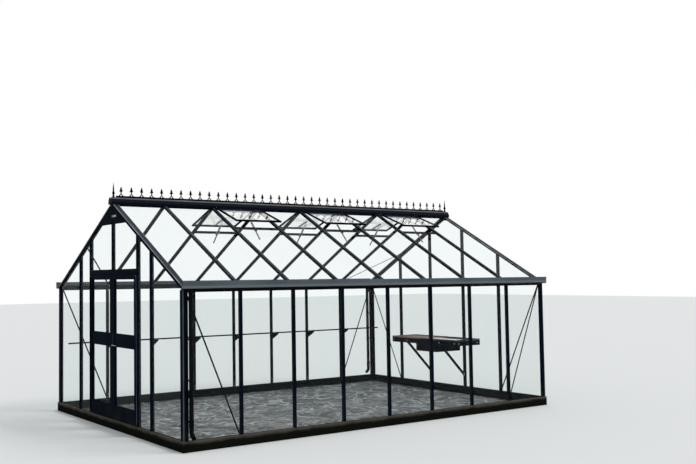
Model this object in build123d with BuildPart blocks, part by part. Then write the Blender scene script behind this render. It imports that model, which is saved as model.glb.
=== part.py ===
from build123d import *
import math
import os

# Glass greenhouse with a pair of hinged doors, a crested ridge and propped roof vents.
# X runs along the ridge from the door gable to the back gable, and Z is up from the ground.
# The origin is the middle of the footprint. Left is +Y and right is -Y, seen by who enters.

# Bays and plan, over the outer faces of the cap strips
bay = 738.0
bays = 8
end_margin = 10.0
half_width = 1920.0

# Heights above the ground
base_height = 120.0
eave_height = 1762.0
roof_edge_rise = 35.0
roof_rise = 1078.0

# Layers of a wall or a slope from the outside in: cap strip, glass, bar
cap_thick = 9.0
cap_width = 38.0
cap_bevel = 2.5
glass_thick = 4.0
bar_depth = 30.0
bar_width = 30.0
rafter_depth = 26.0
end_rafter_depth = 31.0
end_rafter_width = 40.0
pane_gap = 10.0
pane_clearance = 3.0
roof_pane_inset = 4.0

# Pieces that meet without being fused
seat_gap = 0.3

# Plinth round the foot
base_proud = 15.0
base_thick = 60.0

# Corner posts: a square tube with an outer flange lapping the glass on both faces
corner_flange = 48.0
corner_glass_stop = 16.0
corner_bevel = 6.0

# Eave beams and gutters
eave_beam_width = 40.0
roof_overhang = 5.0
gutter_width = 60.0
gutter_height = 80.0
gutter_wall = 6.0
gutter_floor = 4.0
gutter_lip = 12.0
gutter_lip_thick = 3.0
gutter_round = 24.0
gutter_overhang = 23.0
gutter_end_thick = 5.0

# Ridge
ridge_beam_half = 15.0
ridge_beam_drop = 77.0
ridge_cap_half = 52.0
ridge_cap_shoulder_rise = 7.0
ridge_cap_rise = 62.0
ridge_cap_top_half = 28.0
ridge_overhang = 28.0
ridge_joint = 17.0

# Cresting: ten strips with four lily spikes each, every spike on a pierced foot
crest_sections = 10
crest_per_section = 4
crest_end = 128.0
crest_thick = 6.0
crest_strip = 16.0
crest_hole_radius = 12.0
crest_hole_sides = 8
crest_hole_height = 31.0
crest_foot_half = 36.0
crest_neck_half = 6.0
crest_neck_low = 53.0
crest_neck_high = 60.0
crest_petal_half = 25.0
crest_petal_height = 90.0
crest_petal_hollow_half = 11.0
crest_petal_hollow_height = 79.0
crest_notch_half = 13.0
crest_notch_height = 98.0
crest_bud_half = 14.0
crest_bud_height = 112.0
crest_height = 147.0

# Finials at both ends of the ridge
finial_end = 22.0
finial_foot_radius = 24.0
finial_foot_height = 16.0
finial_stem_radius = 12.0
finial_ball_radius = 17.0
finial_ball_height = 58.0
finial_tip_radius = 2.0
finial_sides = 8
finial_height = 196.0

# Gables
wide_bar_y = 1.5 * bay
near_bar_y = 0.5 * bay
plate_height = 169.0

# Doorway
jamb_width = 40.0
jamb_depth = 45.0
head_foot = 1955.0
head_depth = 60.0

# Door leaves
door_gap = 5.0
door_thick = 32.0
door_meeting_stile = 62.0
door_hinge_stile = 50.0
door_top_rail = 60.0
door_bottom_rail = 175.0
door_middle_foot = 1040.0
door_middle_depth = 160.0
door_pane_in = 14.0

# Bead hinges: long knuckles that alternate between jamb and leaf
hinge_stand = 8.0
hinge_radius = 7.0
hinge_plate_thick = 3.0
hinge_plate_width = 22.0
hinge_knuckles = 6
hinge_knuckle_gap = 0.4
hinge_end_margin = 25.0

# Lever handle
handle_height = 1120.0
handle_plate_width = 34.0
handle_plate_height = 150.0
handle_plate_thick = 4.0
handle_neck_radius = 8.0
handle_reach = 25.0
handle_lever_length = 100.0
handle_lever_width = 18.0
handle_lever_thick = 9.0

# Roof vents
vent_bays = (2, 4, 6)
vent_open_deg = 8.5
vent_bead_radius = 6.0
vent_bead_rise = 7.0
vent_side_gap = 6.0
vent_length = 590.0
vent_rail = 25.0
vent_neck = 5.0
vent_rail_drop = 6.0
vent_rail_rise = 14.0
vent_pane_low = 2.0
crossbar_place = 607.0
crossbar_width = 30.0
crossbar_lap = 8.0

# Vent openers: a cylinder tube, the arm that lifts the vent and the bracket on the crossbar
opener_knuckle_place = 370.0
opener_knuckle_rise = 35.0
opener_tail_place = 770.0
opener_tail_rise = -110.0
opener_radius = 9.5
opener_sides = 8
opener_arm_start = 300.0
opener_arm_width = 14.0
opener_arm_depth = 12.0
opener_bracket_width = 24.0
opener_bracket_length = 20.0
opener_bracket_drop = 21.0

# Flat braces in the end bays
brace_width = 20.0
brace_thick = 3.0
brace_setback = 8.0
roof_brace_depth = 27.0
roof_brace_foot_in = 40.0
roof_brace_top_share = 0.5

# Tube along the inside of the left wall, carried by a bracket on each bar
rail_height = 974.0
rail_radius = 11.0
rail_end = 62.0
rail_stand = 177.0
rail_bracket_thick = 6.0
rail_bracket_nose = 14.0
rail_bracket_height = 110.0

# Bench on sloping struts at the back gable, with a box under it
bench_depth = 527.0
bench_half = 725.0
bench_foot = 800.0
bench_rail_height = 75.0
bench_rail_thick = 25.0
bench_top_thick = 4.0
bench_rim_height = 18.0
bench_rim_thick = 4.0
strut_foot = 290.0
strut_foot_height = 44.0
strut_top_start = 6.0
strut_top_length = 48.0
strut_thick = 28.0
under_box_foot = 685.0
under_box_right = 300.0
under_box_left = 155.0

# Downpipes with a kicked-out shoe
pipe_radius = 25.0
pipe_from_end = 100.0
pipe_shoe_height = 200.0
pipe_shoe_length = 75.0
pipe_shoe_deg = 50.0
pipe_clips = 4
pipe_clip_low_rise = 130.0
pipe_clip_high_drop = 92.0
pipe_clip_height = 20.0
pipe_clip_thick = 3.0

# Ground sheet on the floor inside
sheet_thick = 5.0

os.makedirs("parts", exist_ok=True)

# Places worked out from the sizes above
half_length = bays * bay / 2 + end_margin
roof_edge_height = eave_height + roof_edge_rise
roof_apex_height = roof_edge_height + roof_rise
ridge_beam_foot = roof_apex_height - ridge_beam_drop
ridge_cap_shoulder = roof_apex_height + ridge_cap_shoulder_rise
ridge_cap_top = roof_apex_height + ridge_cap_rise
plate_foot = ridge_beam_foot - plate_height
head_top = head_foot + head_depth
door_middle_top = door_middle_foot + door_middle_depth
glass_in = cap_thick
bar_in = cap_thick + glass_thick
bar_back = bar_in + bar_depth
wall_height = eave_height - base_height
roof_pitch = math.atan(roof_rise / half_width)
pitch_sin = math.sin(roof_pitch)
pitch_cos = math.cos(roof_pitch)
pitch_tan = math.tan(roof_pitch)
left_slope = Plane(
    origin=(0, 0, roof_apex_height), x_dir=(1, 0, 0), z_dir=(0, pitch_sin, pitch_cos)
)


def bar_x(number):
    """Middle of a bar line of the long walls, counted from the door gable."""
    return number * bay + end_margin - half_length


def roof_z(y, rise=0.0):
    """Height of the roof at a distance y from the ridge line, rise out from the caps' face."""
    return roof_apex_height - pitch_tan * abs(y) + rise / pitch_cos


def slope_point(along, rise):
    """Y and Z of a point given by its distance down the left slope and out from its caps."""
    y = along * pitch_cos + rise * pitch_sin
    z = roof_apex_height - along * pitch_sin + rise * pitch_cos
    return (y, z)


def facing_right(y):
    """An upright plane at a place across the building, drawn in X and Z, seen from the left."""
    return Plane(origin=(0, y, 0), x_dir=(1, 0, 0), z_dir=(0, -1, 0))


def block(x_low, x_high, y_low, y_high, z_low, z_high):
    """A rectangular piece between its limits, added to the part that is open."""
    middle = ((x_low + x_high) / 2, (y_low + y_high) / 2, (z_low + z_high) / 2)
    with Locations(middle):
        Box(abs(x_high - x_low), abs(y_high - y_low), abs(z_high - z_low))


def prism(plane, outline, height):
    """An outline drawn on a plane and extruded, added to the part that is open."""
    with BuildSketch(plane) as profile:
        with BuildLine():
            Polyline(*outline, close=True)
        make_face()
    extrude(profile.sketch, amount=height)


def along_x(outline, x_low, x_high):
    """A piece of one section in Y and Z between two places along the building."""
    prism(Plane.YZ.offset(min(x_low, x_high)), outline, abs(x_high - x_low))


def plank(plane, x_low, x_high, s_low, s_high, h_low, h_high):
    """A rectangular piece in a sloping plane, s down it and h out from it."""
    outline = [(x_low, s_low), (x_high, s_low), (x_high, s_high), (x_low, s_high)]
    prism(plane.offset(h_low), outline, h_high - h_low)


# Plinth beams: the long ones run through, and the ends fit between them
base_outer_x = half_length + base_proud
base_outer_y = half_width + base_proud
base_inner_x = base_outer_x - base_thick
base_inner_y = base_outer_y - base_thick

with BuildPart() as base_left:
    block(-base_outer_x, base_outer_x, base_inner_y, base_outer_y, 0, base_height)
base_left.part.label = "base_left"
export_step(base_left.part, "parts/base_left.step")

with BuildPart() as base_right:
    mirror(base_left.part, about=Plane.XZ)
base_right.part.label = "base_right"
export_step(base_right.part, "parts/base_right.step")

with BuildPart() as base_door_end:
    block(-base_outer_x, -base_inner_x, -base_inner_y, base_inner_y, 0, base_height)
base_door_end.part.label = "base_door_end"
export_step(base_door_end.part, "parts/base_door_end.step")

with BuildPart() as base_back_end:
    mirror(base_door_end.part, about=Plane.YZ)
base_back_end.part.label = "base_back_end"
export_step(base_back_end.part, "parts/base_back_end.step")

# Ground sheet lying inside the plinth
with BuildPart() as floor_sheet:
    sheet_x = base_inner_x - seat_gap
    sheet_y = base_inner_y - seat_gap
    block(-sheet_x, sheet_x, -sheet_y, sheet_y, 0, sheet_thick)
floor_sheet.part.label = "floor_sheet"
export_step(floor_sheet.part, "parts/floor_sheet.step")

# Corner posts: one is drawn at the back left corner and mirrored to the others
corner_section = [
    (corner_bevel, 0),
    (corner_flange, 0),
    (corner_flange, glass_in),
    (corner_glass_stop, glass_in),
    (corner_glass_stop, bar_in),
    (bar_back, bar_in),
    (bar_back, bar_back),
    (bar_in, bar_back),
    (bar_in, corner_glass_stop),
    (glass_in, corner_glass_stop),
    (glass_in, corner_flange),
    (0, corner_flange),
    (0, corner_bevel),
]
with BuildPart() as corner_posts:
    corner_outline = [(half_length - u, half_width - v) for u, v in corner_section]
    prism(Plane.XY.offset(base_height), corner_outline, wall_height)
    mirror(about=Plane.XZ)
    mirror(about=Plane.YZ)
corner_posts.part.label = "corner_posts"
export_step(corner_posts.part, "parts/corner_posts.step")

# Upright bars of the long walls, behind the glass
inner_bar_places = [(bar_x(number), 0) for number in range(1, bays)]
with BuildPart() as left_wall_bars:
    with BuildSketch(Plane.XY.offset(base_height)):
        with Locations((0, half_width - bar_in - bar_depth / 2)):
            with Locations(*inner_bar_places):
                Rectangle(bar_width, bar_depth)
    extrude(amount=wall_height)
left_wall_bars.part.label = "left_wall_bars"
export_step(left_wall_bars.part, "parts/left_wall_bars.step")

with BuildPart() as right_wall_bars:
    mirror(left_wall_bars.part, about=Plane.XZ)
right_wall_bars.part.label = "right_wall_bars"
export_step(right_wall_bars.part, "parts/right_wall_bars.step")

# Cap strips of the long walls, bevelled along both outer edges
with BuildPart() as wall_bar_caps:
    with BuildSketch(Plane.XY.offset(base_height)):
        with Locations((0, half_width)):
            with Locations(*inner_bar_places):
                Trapezoid(
                    cap_width,
                    cap_thick,
                    math.degrees(math.atan2(cap_thick, cap_bevel)),
                    align=(Align.CENTER, Align.MAX),
                )
    extrude(amount=wall_height)
    mirror(about=Plane.XZ)
wall_bar_caps.part.label = "wall_bar_caps"
export_step(wall_bar_caps.part, "parts/wall_bar_caps.step")


def pane_limits(number, end_in):
    """X limits of the pane in a bay, under the caps, or end_in from the gable's face."""
    low = bar_x(number) + pane_gap / 2 if number > 0 else end_in - half_length
    high = bar_x(number + 1) - pane_gap / 2 if number < bays - 1 else half_length - end_in
    return low, high


# Glass of the long walls, one pane to a bay
with BuildPart() as left_wall_glass:
    for number in range(bays):
        low, high = pane_limits(number, corner_glass_stop)
        block(low, high, half_width - bar_in, half_width - glass_in, base_height, eave_height)
left_wall_glass.part.label = "left_wall_glass"
export_step(left_wall_glass.part, "parts/left_wall_glass.step")

with BuildPart() as right_wall_glass:
    mirror(left_wall_glass.part, about=Plane.XZ)
right_wall_glass.part.label = "right_wall_glass"
export_step(right_wall_glass.part, "parts/right_wall_glass.step")

# Eave beams on top of the wall bars, planed to the slope
eave_inner_y = half_width - eave_beam_width
with BuildPart() as eave_beams:
    eave_section = [
        (eave_inner_y, eave_height),
        (half_width, eave_height),
        (half_width, roof_z(half_width, -bar_in)),
        (eave_inner_y, roof_z(eave_inner_y, -bar_in)),
    ]
    along_x(eave_section, -half_length, half_length)
    mirror(about=Plane.XZ)
eave_beams.part.label = "eave_beams"
export_step(eave_beams.part, "parts/eave_beams.step")

# Gutters: a trough with a rounded lower edge, closed by a plate at each end
gutter_x = half_length + gutter_overhang
gutter_outer_y = half_width + gutter_width
gutter_top = eave_height + gutter_height
channel_half = gutter_x - gutter_end_thick
channel_outer_y = gutter_outer_y - gutter_wall
channel_floor = eave_height + gutter_floor
channel_round = gutter_round - gutter_floor
channel_inner_y = half_width + gutter_lip_thick
with BuildPart() as left_gutter:
    with BuildSketch(Plane.YZ.offset(-gutter_x)):
        with BuildLine():
            Polyline(
                (gutter_outer_y - gutter_round, eave_height),
                (half_width, eave_height),
                (half_width, eave_height + gutter_lip),
                (channel_inner_y, eave_height + gutter_lip),
                (channel_outer_y, gutter_top),
                (gutter_outer_y, gutter_top),
                (gutter_outer_y, eave_height + gutter_round),
            )
            RadiusArc(
                (gutter_outer_y, eave_height + gutter_round),
                (gutter_outer_y - gutter_round, eave_height),
                gutter_round,
            )
        make_face()
    extrude(amount=2 * gutter_x)
    with BuildSketch(Plane.YZ.offset(-channel_half)):
        with BuildLine():
            Polyline(
                (channel_outer_y - channel_round, channel_floor),
                (channel_inner_y, channel_floor),
                (channel_inner_y, gutter_top),
                (channel_outer_y, gutter_top),
                (channel_outer_y, channel_floor + channel_round),
            )
            RadiusArc(
                (channel_outer_y, channel_floor + channel_round),
                (channel_outer_y - channel_round, channel_floor),
                channel_round,
            )
        make_face()
    extrude(amount=2 * channel_half, mode=Mode.SUBTRACT)
left_gutter.part.label = "left_gutter"
export_step(left_gutter.part, "parts/left_gutter.step")

with BuildPart() as right_gutter:
    mirror(left_gutter.part, about=Plane.XZ)
right_gutter.part.label = "right_gutter"
export_step(right_gutter.part, "parts/right_gutter.step")

# Downpipes at two opposite corners, held off the corner posts by clip plates
pipe_x = half_length - pipe_from_end
pipe_y = half_width + pipe_radius + pipe_clip_thick
shoe_turn = math.radians(pipe_shoe_deg)
shoe_end_y = pipe_y + pipe_shoe_length * math.sin(shoe_turn)
shoe_end_z = pipe_shoe_height - pipe_shoe_length * math.cos(shoe_turn)
with BuildPart() as downpipes:
    with BuildLine():
        Polyline(
            (pipe_x, pipe_y, eave_height),
            (pipe_x, pipe_y, pipe_shoe_height),
            (pipe_x, shoe_end_y, shoe_end_z),
        )
    with BuildSketch(Plane.XY.offset(eave_height)):
        with Locations((pipe_x, pipe_y)):
            Circle(pipe_radius)
    sweep(transition=Transition.RIGHT)
    low_clip = pipe_shoe_height + pipe_clip_low_rise
    clip_pitch = (eave_height - pipe_clip_high_drop - low_clip) / (pipe_clips - 1)
    for number in range(pipe_clips):
        height = low_clip + number * clip_pitch
        block(
            pipe_x - pipe_radius,
            half_length - corner_bevel,
            half_width,
            half_width + pipe_clip_thick - seat_gap,
            height - pipe_clip_height / 2,
            height + pipe_clip_height / 2,
        )
    mirror(mirror(downpipes.part, about=Plane.XZ, mode=Mode.PRIVATE), about=Plane.YZ)
downpipes.part.label = "downpipes"
export_step(downpipes.part, "parts/downpipes.step")


# Rafters of the left slope: a light one on each bar line and a heavy one at each gable
def rafter_section(depth):
    """Side view of a rafter with plumb ends, between the eave beam and the ridge beam."""
    return [
        (ridge_beam_half, roof_z(ridge_beam_half, -bar_in)),
        (eave_inner_y, roof_z(eave_inner_y, -bar_in)),
        (eave_inner_y, roof_z(eave_inner_y, -bar_in - depth)),
        (ridge_beam_half, roof_z(ridge_beam_half, -bar_in - depth)),
    ]


with BuildPart() as left_rafters:
    for number in range(1, bays):
        low = bar_x(number) - bar_width / 2
        along_x(rafter_section(rafter_depth), low, low + bar_width)
    for end in (-1, 1):
        outer_x = end * half_length
        along_x(rafter_section(end_rafter_depth), outer_x, outer_x - end * end_rafter_width)
left_rafters.part.label = "left_rafters"
export_step(left_rafters.part, "parts/left_rafters.step")

with BuildPart() as right_rafters:
    mirror(left_rafters.part, about=Plane.XZ)
right_rafters.part.label = "right_rafters"
export_step(right_rafters.part, "parts/right_rafters.step")

# Cap strips of the roof, from under the ridge cap to the gutter
roof_low_y = half_width + roof_overhang
with BuildPart() as roof_bar_caps:
    roof_cap_section = [
        (ridge_joint, roof_z(ridge_joint)),
        (roof_low_y, roof_z(roof_low_y)),
        (roof_low_y, roof_z(roof_low_y, -cap_thick)),
        (ridge_joint, roof_z(ridge_joint, -cap_thick)),
    ]
    for number in range(1, bays):
        low = bar_x(number) - cap_width / 2
        along_x(roof_cap_section, low, low + cap_width)
    for end in (-1, 1):
        outer_x = end * half_length
        along_x(roof_cap_section, outer_x, outer_x - end * end_rafter_width)
    mirror(about=Plane.XZ)
roof_bar_caps.part.label = "roof_bar_caps"
export_step(roof_bar_caps.part, "parts/roof_bar_caps.step")

# Glass of the left slope, shortened below the vents
crossbar_end = crossbar_place + crossbar_width
with BuildPart() as left_roof_glass:
    for number in range(bays):
        low, high = pane_limits(number, roof_pane_inset)
        top_y = ridge_joint
        if number in vent_bays:
            top_y = slope_point(crossbar_end - crossbar_lap, -bar_in)[0]
        pane_section = [
            (top_y, roof_z(top_y, -glass_in)),
            (roof_low_y, roof_z(roof_low_y, -glass_in)),
            (roof_low_y, roof_z(roof_low_y, -bar_in)),
            (top_y, roof_z(top_y, -bar_in)),
        ]
        along_x(pane_section, low, high)
left_roof_glass.part.label = "left_roof_glass"
export_step(left_roof_glass.part, "parts/left_roof_glass.step")

with BuildPart() as right_roof_glass:
    mirror(left_roof_glass.part, about=Plane.XZ)
right_roof_glass.part.label = "right_roof_glass"
export_step(right_roof_glass.part, "parts/right_roof_glass.step")

# Crossbars under the lower edges of the vents
rafter_foot = bar_in + rafter_depth
with BuildPart() as vent_crossbars:
    for number in vent_bays:
        low = bar_x(number) + bar_width / 2
        high = bar_x(number + 1) - bar_width / 2
        plank(left_slope, low, high, crossbar_place, crossbar_end, -rafter_foot, -bar_in)
    mirror(about=Plane.XZ)
vent_crossbars.part.label = "vent_crossbars"
export_step(vent_crossbars.part, "parts/vent_crossbars.step")

# Vents: the hinge bead lies along the side of the ridge cap, and the frame is propped up
vent_bead_y = ridge_cap_half + seat_gap + vent_bead_radius
vent_bead_z = roof_z(vent_bead_y, vent_bead_rise)
vent_pitch = roof_pitch - math.radians(vent_open_deg)
left_vent_plane = Plane(
    origin=(0, vent_bead_y, vent_bead_z),
    x_dir=(1, 0, 0),
    z_dir=(0, math.sin(vent_pitch), math.cos(vent_pitch)),
)
vent_inner_start = vent_neck + vent_rail
vent_inner_end = vent_length - vent_rail
with BuildPart() as vent_frames:
    for number in vent_bays:
        low = bar_x(number) + vent_side_gap
        high = bar_x(number + 1) - vent_side_gap
        levels = (-vent_rail_drop, vent_rail_rise)
        plank(left_vent_plane, low, high, vent_neck, vent_inner_start, *levels)
        plank(left_vent_plane, low, high, 0, vent_neck, -vent_pane_low, vent_pane_low)
        with BuildSketch(Plane.YZ.offset(low)):
            with Locations((vent_bead_y, vent_bead_z)):
                Circle(vent_bead_radius)
        extrude(amount=high - low)
        side_limits = (vent_inner_start + seat_gap, vent_inner_end - seat_gap)
        plank(left_vent_plane, low, low + vent_rail, *side_limits, *levels)
        plank(left_vent_plane, high - vent_rail, high, *side_limits, *levels)
        plank(left_vent_plane, low, high, vent_inner_end, vent_length, *levels)
    mirror(about=Plane.XZ)
vent_frames.part.label = "vent_frames"
export_step(vent_frames.part, "parts/vent_frames.step")

with BuildPart() as vent_glass:
    for number in vent_bays:
        low = bar_x(number) + vent_side_gap + vent_rail
        high = bar_x(number + 1) - vent_side_gap - vent_rail
        levels = (vent_pane_low, vent_pane_low + glass_thick)
        plank(left_vent_plane, low, high, vent_inner_start, vent_inner_end, *levels)
    mirror(about=Plane.XZ)
vent_glass.part.label = "vent_glass"
export_step(vent_glass.part, "parts/vent_glass.step")

# Openers: the tube hangs from its bracket and pushes up the arm under the vent's glass
with BuildPart() as vent_openers:
    knuckle = slope_point(opener_knuckle_place, opener_knuckle_rise)
    tail = slope_point(opener_tail_place, opener_tail_rise)
    bracket_start = crossbar_place + (crossbar_width - opener_bracket_length) / 2
    for number in vent_bays:
        middle_x = (bar_x(number) + bar_x(number + 1)) / 2
        tube_plane = Plane(
            origin=(middle_x, *knuckle),
            x_dir=(1, 0, 0),
            z_dir=(0, tail[0] - knuckle[0], tail[1] - knuckle[1]),
        )
        with BuildSketch(tube_plane):
            RegularPolygon(opener_radius, opener_sides)
        extrude(amount=math.dist(knuckle, tail))
        plank(
            left_vent_plane,
            middle_x - opener_arm_width / 2,
            middle_x + opener_arm_width / 2,
            opener_arm_start,
            vent_inner_end,
            -opener_arm_depth,
            0,
        )
        plank(
            left_slope,
            middle_x - opener_bracket_width / 2,
            middle_x + opener_bracket_width / 2,
            bracket_start,
            bracket_start + opener_bracket_length,
            -rafter_foot - opener_bracket_drop,
            -rafter_foot,
        )
    mirror(about=Plane.XZ)
vent_openers.part.label = "vent_openers"
export_step(vent_openers.part, "parts/vent_openers.step")

# Ridge beam between the rafters, and the moulded cap over it
ridge_beam_top = roof_z(ridge_beam_half, -bar_in)
with BuildPart() as ridge_beam:
    block(
        -half_length,
        half_length,
        -ridge_beam_half,
        ridge_beam_half,
        ridge_beam_foot,
        ridge_beam_top,
    )
ridge_beam.part.label = "ridge_beam"
export_step(ridge_beam.part, "parts/ridge_beam.step")

with BuildPart() as ridge_cap:
    cap_x = half_length + ridge_overhang
    with BuildSketch(Plane.YZ.offset(-cap_x)):
        with BuildLine():
            Polyline(
                (0, ridge_beam_top),
                (ridge_beam_half, ridge_beam_top),
                (ridge_beam_half, roof_z(ridge_beam_half)),
                (ridge_cap_half, roof_z(ridge_cap_half)),
                (ridge_cap_half, ridge_cap_shoulder),
                (ridge_cap_top_half, ridge_cap_top),
                (0, ridge_cap_top),
            )
            mirror(about=Plane.YZ)
        make_face()
    extrude(amount=2 * cap_x)
ridge_cap.part.label = "ridge_cap"
export_step(ridge_cap.part, "parts/ridge_cap.step")

# Cresting: a lily spike is drawn once and repeated along each pierced strip
crest_pitch = 2 * (half_length - crest_end) / (crest_sections * crest_per_section - 1)
with BuildSketch() as lily:
    with BuildLine():
        Polyline(
            (0, 0),
            (crest_foot_half, 0),
            (crest_foot_half, crest_strip),
            (crest_neck_half, crest_neck_low),
            (crest_neck_half, crest_neck_high),
        )
        ThreePointArc(
            (crest_neck_half, crest_neck_high),
            (crest_petal_hollow_half, crest_petal_hollow_height),
            (crest_petal_half, crest_petal_height),
        )
        Polyline(
            (crest_petal_half, crest_petal_height),
            (crest_notch_half, crest_notch_height),
            (crest_bud_half, crest_bud_height),
            (0, crest_height),
        )
        mirror(about=Plane.YZ)
    make_face()

with BuildPart() as ridge_cresting:
    spike_places = [(place * crest_pitch, 0) for place in range(crest_per_section)]
    section_length = crest_per_section * crest_pitch
    for number in range(crest_sections):
        first_x = crest_end - half_length + number * section_length
        first_foot = (first_x, crest_thick / 2, ridge_cap_top)
        with BuildSketch(Plane(origin=first_foot, x_dir=(1, 0, 0), z_dir=(0, -1, 0))):
            with Locations(((section_length - crest_pitch) / 2, crest_strip / 2)):
                Rectangle(section_length - seat_gap, crest_strip)
            with Locations(*spike_places):
                add(lily.sketch)
            with Locations((0, crest_hole_height)):
                with Locations(*spike_places):
                    RegularPolygon(crest_hole_radius, crest_hole_sides, mode=Mode.SUBTRACT)
        extrude(amount=crest_thick)
ridge_cresting.part.label = "ridge_cresting"
export_step(ridge_cresting.part, "parts/ridge_cresting.step")

# Finials: an eight-sided spike with a collar and a knop, at each end of the ridge
finial_profile = [
    (finial_foot_radius, 0),
    (finial_stem_radius, finial_foot_height),
    (finial_stem_radius, finial_ball_height - finial_ball_radius),
    (finial_ball_radius, finial_ball_height),
    (finial_stem_radius, finial_ball_height + finial_ball_radius),
    (finial_tip_radius, finial_height),
]
with BuildPart() as ridge_finials:
    for radius, rise in finial_profile:
        with BuildSketch(Plane(origin=(half_length - finial_end, 0, ridge_cap_top + rise))):
            RegularPolygon(radius, finial_sides)
    loft(ruled=True)
    mirror(about=Plane.YZ)
ridge_finials.part.label = "ridge_finials"
export_step(ridge_finials.part, "parts/ridge_finials.step")


# Gables: everything upright stops at the underside of the end rafters
def gable_top(y):
    """Height of the end rafter's underside at a distance y from the middle."""
    return roof_z(y, -bar_in - end_rafter_depth)


def upright(end, y_low, y_high, x_out, x_in, z_low):
    """An upright of a gable between two depths, cut to the slope of the end rafter."""
    outline = [
        (y_low, z_low),
        (y_high, z_low),
        (y_high, gable_top(y_high)),
        (y_low, gable_top(y_low)),
    ]
    along_x(outline, end * (half_length - x_out), end * (half_length - x_in))


def gable_bar(end, y):
    """A bar behind the glass of a gable."""
    upright(end, y - bar_width / 2, y + bar_width / 2, bar_in, bar_back, base_height)


def gable_cap(end, y):
    """The cap strip in front of a gable bar."""
    upright(end, y - cap_width / 2, y + cap_width / 2, 0, cap_thick, base_height)


with BuildPart() as door_gable_bars:
    gable_bar(-1, wide_bar_y)
    mirror(about=Plane.XZ)
    block(
        bar_in - half_length,
        bar_back - half_length,
        -bar_width / 2,
        bar_width / 2,
        head_top,
        ridge_beam_foot,
    )
door_gable_bars.part.label = "door_gable_bars"
export_step(door_gable_bars.part, "parts/door_gable_bars.step")

with BuildPart() as back_gable_bars:
    gable_bar(1, near_bar_y)
    gable_bar(1, wide_bar_y)
    mirror(about=Plane.XZ)
back_gable_bars.part.label = "back_gable_bars"
export_step(back_gable_bars.part, "parts/back_gable_bars.step")

with BuildPart() as gable_bar_caps:
    gable_cap(-1, wide_bar_y)
    gable_cap(1, near_bar_y)
    gable_cap(1, wide_bar_y)
    mirror(about=Plane.XZ)
    block(
        -half_length,
        cap_thick - half_length,
        -cap_width / 2,
        cap_width / 2,
        head_top,
        plate_foot,
    )
gable_bar_caps.part.label = "gable_bar_caps"
export_step(gable_bar_caps.part, "parts/gable_bar_caps.step")

# Solid plate in the apex of the door gable
with BuildPart() as apex_plates:
    plate_foot_half = (gable_top(0) - plate_foot) / pitch_tan
    plate_top_half = (gable_top(0) - ridge_beam_foot) / pitch_tan
    plate_outline = [
        (-plate_foot_half, plate_foot),
        (plate_foot_half, plate_foot),
        (plate_top_half, ridge_beam_foot),
        (-plate_top_half, ridge_beam_foot),
    ]
    along_x(plate_outline, -half_length, cap_thick - half_length)
apex_plates.part.label = "apex_plates"
export_step(apex_plates.part, "parts/apex_plates.step")

# Glass of the gables, clear of the rafters by a small gap and level under the beams
pane_peak = ridge_beam_foot - pane_clearance


def pane_reach(z):
    """Distance from the middle at which a gable pane's sloping edge has the height z."""
    return (gable_top(0) - pane_clearance - z) / pitch_tan


def gable_pane(end, y_low, y_high, z_low):
    """A pane from one upright to the next, on the left of the middle."""
    outline = [(y_low, z_low), (y_high, z_low)]
    if y_high > pane_reach(eave_height):
        corner_y = min(pane_reach(eave_height), eave_inner_y)
        outline += [(y_high, eave_height), (corner_y, eave_height)]
    else:
        outline += [(y_high, gable_top(y_high) - pane_clearance)]
    if y_low < pane_reach(pane_peak):
        outline += [(pane_reach(pane_peak), pane_peak), (y_low, pane_peak)]
    else:
        outline += [(y_low, gable_top(y_low) - pane_clearance)]
    along_x(outline, end * (half_length - glass_in), end * (half_length - bar_in))


jamb_outer = bay + jamb_width / 2
jamb_inner = bay - jamb_width / 2
gable_glass_end = half_width - corner_glass_stop
half_pane_gap = pane_gap / 2
with BuildPart() as door_gable_glass:
    gable_pane(-1, wide_bar_y + half_pane_gap, gable_glass_end, base_height)
    gable_pane(-1, jamb_outer, wide_bar_y - half_pane_gap, base_height)
    gable_pane(-1, half_pane_gap, jamb_inner, head_top)
    mirror(about=Plane.XZ)
door_gable_glass.part.label = "door_gable_glass"
export_step(door_gable_glass.part, "parts/door_gable_glass.step")

with BuildPart() as back_gable_glass:
    gable_pane(1, wide_bar_y + half_pane_gap, gable_glass_end, base_height)
    gable_pane(1, near_bar_y + half_pane_gap, wide_bar_y - half_pane_gap, base_height)
    gable_pane(1, 0, near_bar_y - half_pane_gap, base_height)
    mirror(about=Plane.XZ)
back_gable_glass.part.label = "back_gable_glass"
export_step(back_gable_glass.part, "parts/back_gable_glass.step")

# Doorway: two jambs up to the rafters and a head between them
with BuildPart() as door_surround:
    upright(-1, jamb_inner, jamb_outer, 0, jamb_depth, base_height)
    mirror(about=Plane.XZ)
    head_half = jamb_inner - seat_gap
    block(-half_length, jamb_depth - half_length, -head_half, head_half, head_foot, head_top)
door_surround.part.label = "door_surround"
export_step(door_surround.part, "parts/door_surround.step")

# Door leaves: two stiles with three rails between them, and a pane above and below the middle
door_front = -half_length
door_back = door_thick - half_length
door_foot = base_height + door_gap
door_top = head_foot - door_gap
door_meeting_y = door_gap / 2
door_hinge_y = jamb_inner - door_gap
light_low_y = door_meeting_y + door_meeting_stile
light_high_y = door_hinge_y - door_hinge_stile
bottom_rail_top = door_foot + door_bottom_rail
top_rail_foot = door_top - door_top_rail
with BuildPart() as left_door_frame:
    block(door_front, door_back, door_meeting_y, light_low_y, door_foot, door_top)
    block(door_front, door_back, light_high_y, door_hinge_y, door_foot, door_top)
    rail_limits = (light_low_y + seat_gap, light_high_y - seat_gap)
    block(door_front, door_back, *rail_limits, door_foot, bottom_rail_top)
    block(door_front, door_back, *rail_limits, door_middle_foot, door_middle_top)
    block(door_front, door_back, *rail_limits, top_rail_foot, door_top)
left_door_frame.part.label = "left_door_frame"
export_step(left_door_frame.part, "parts/left_door_frame.step")

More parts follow.
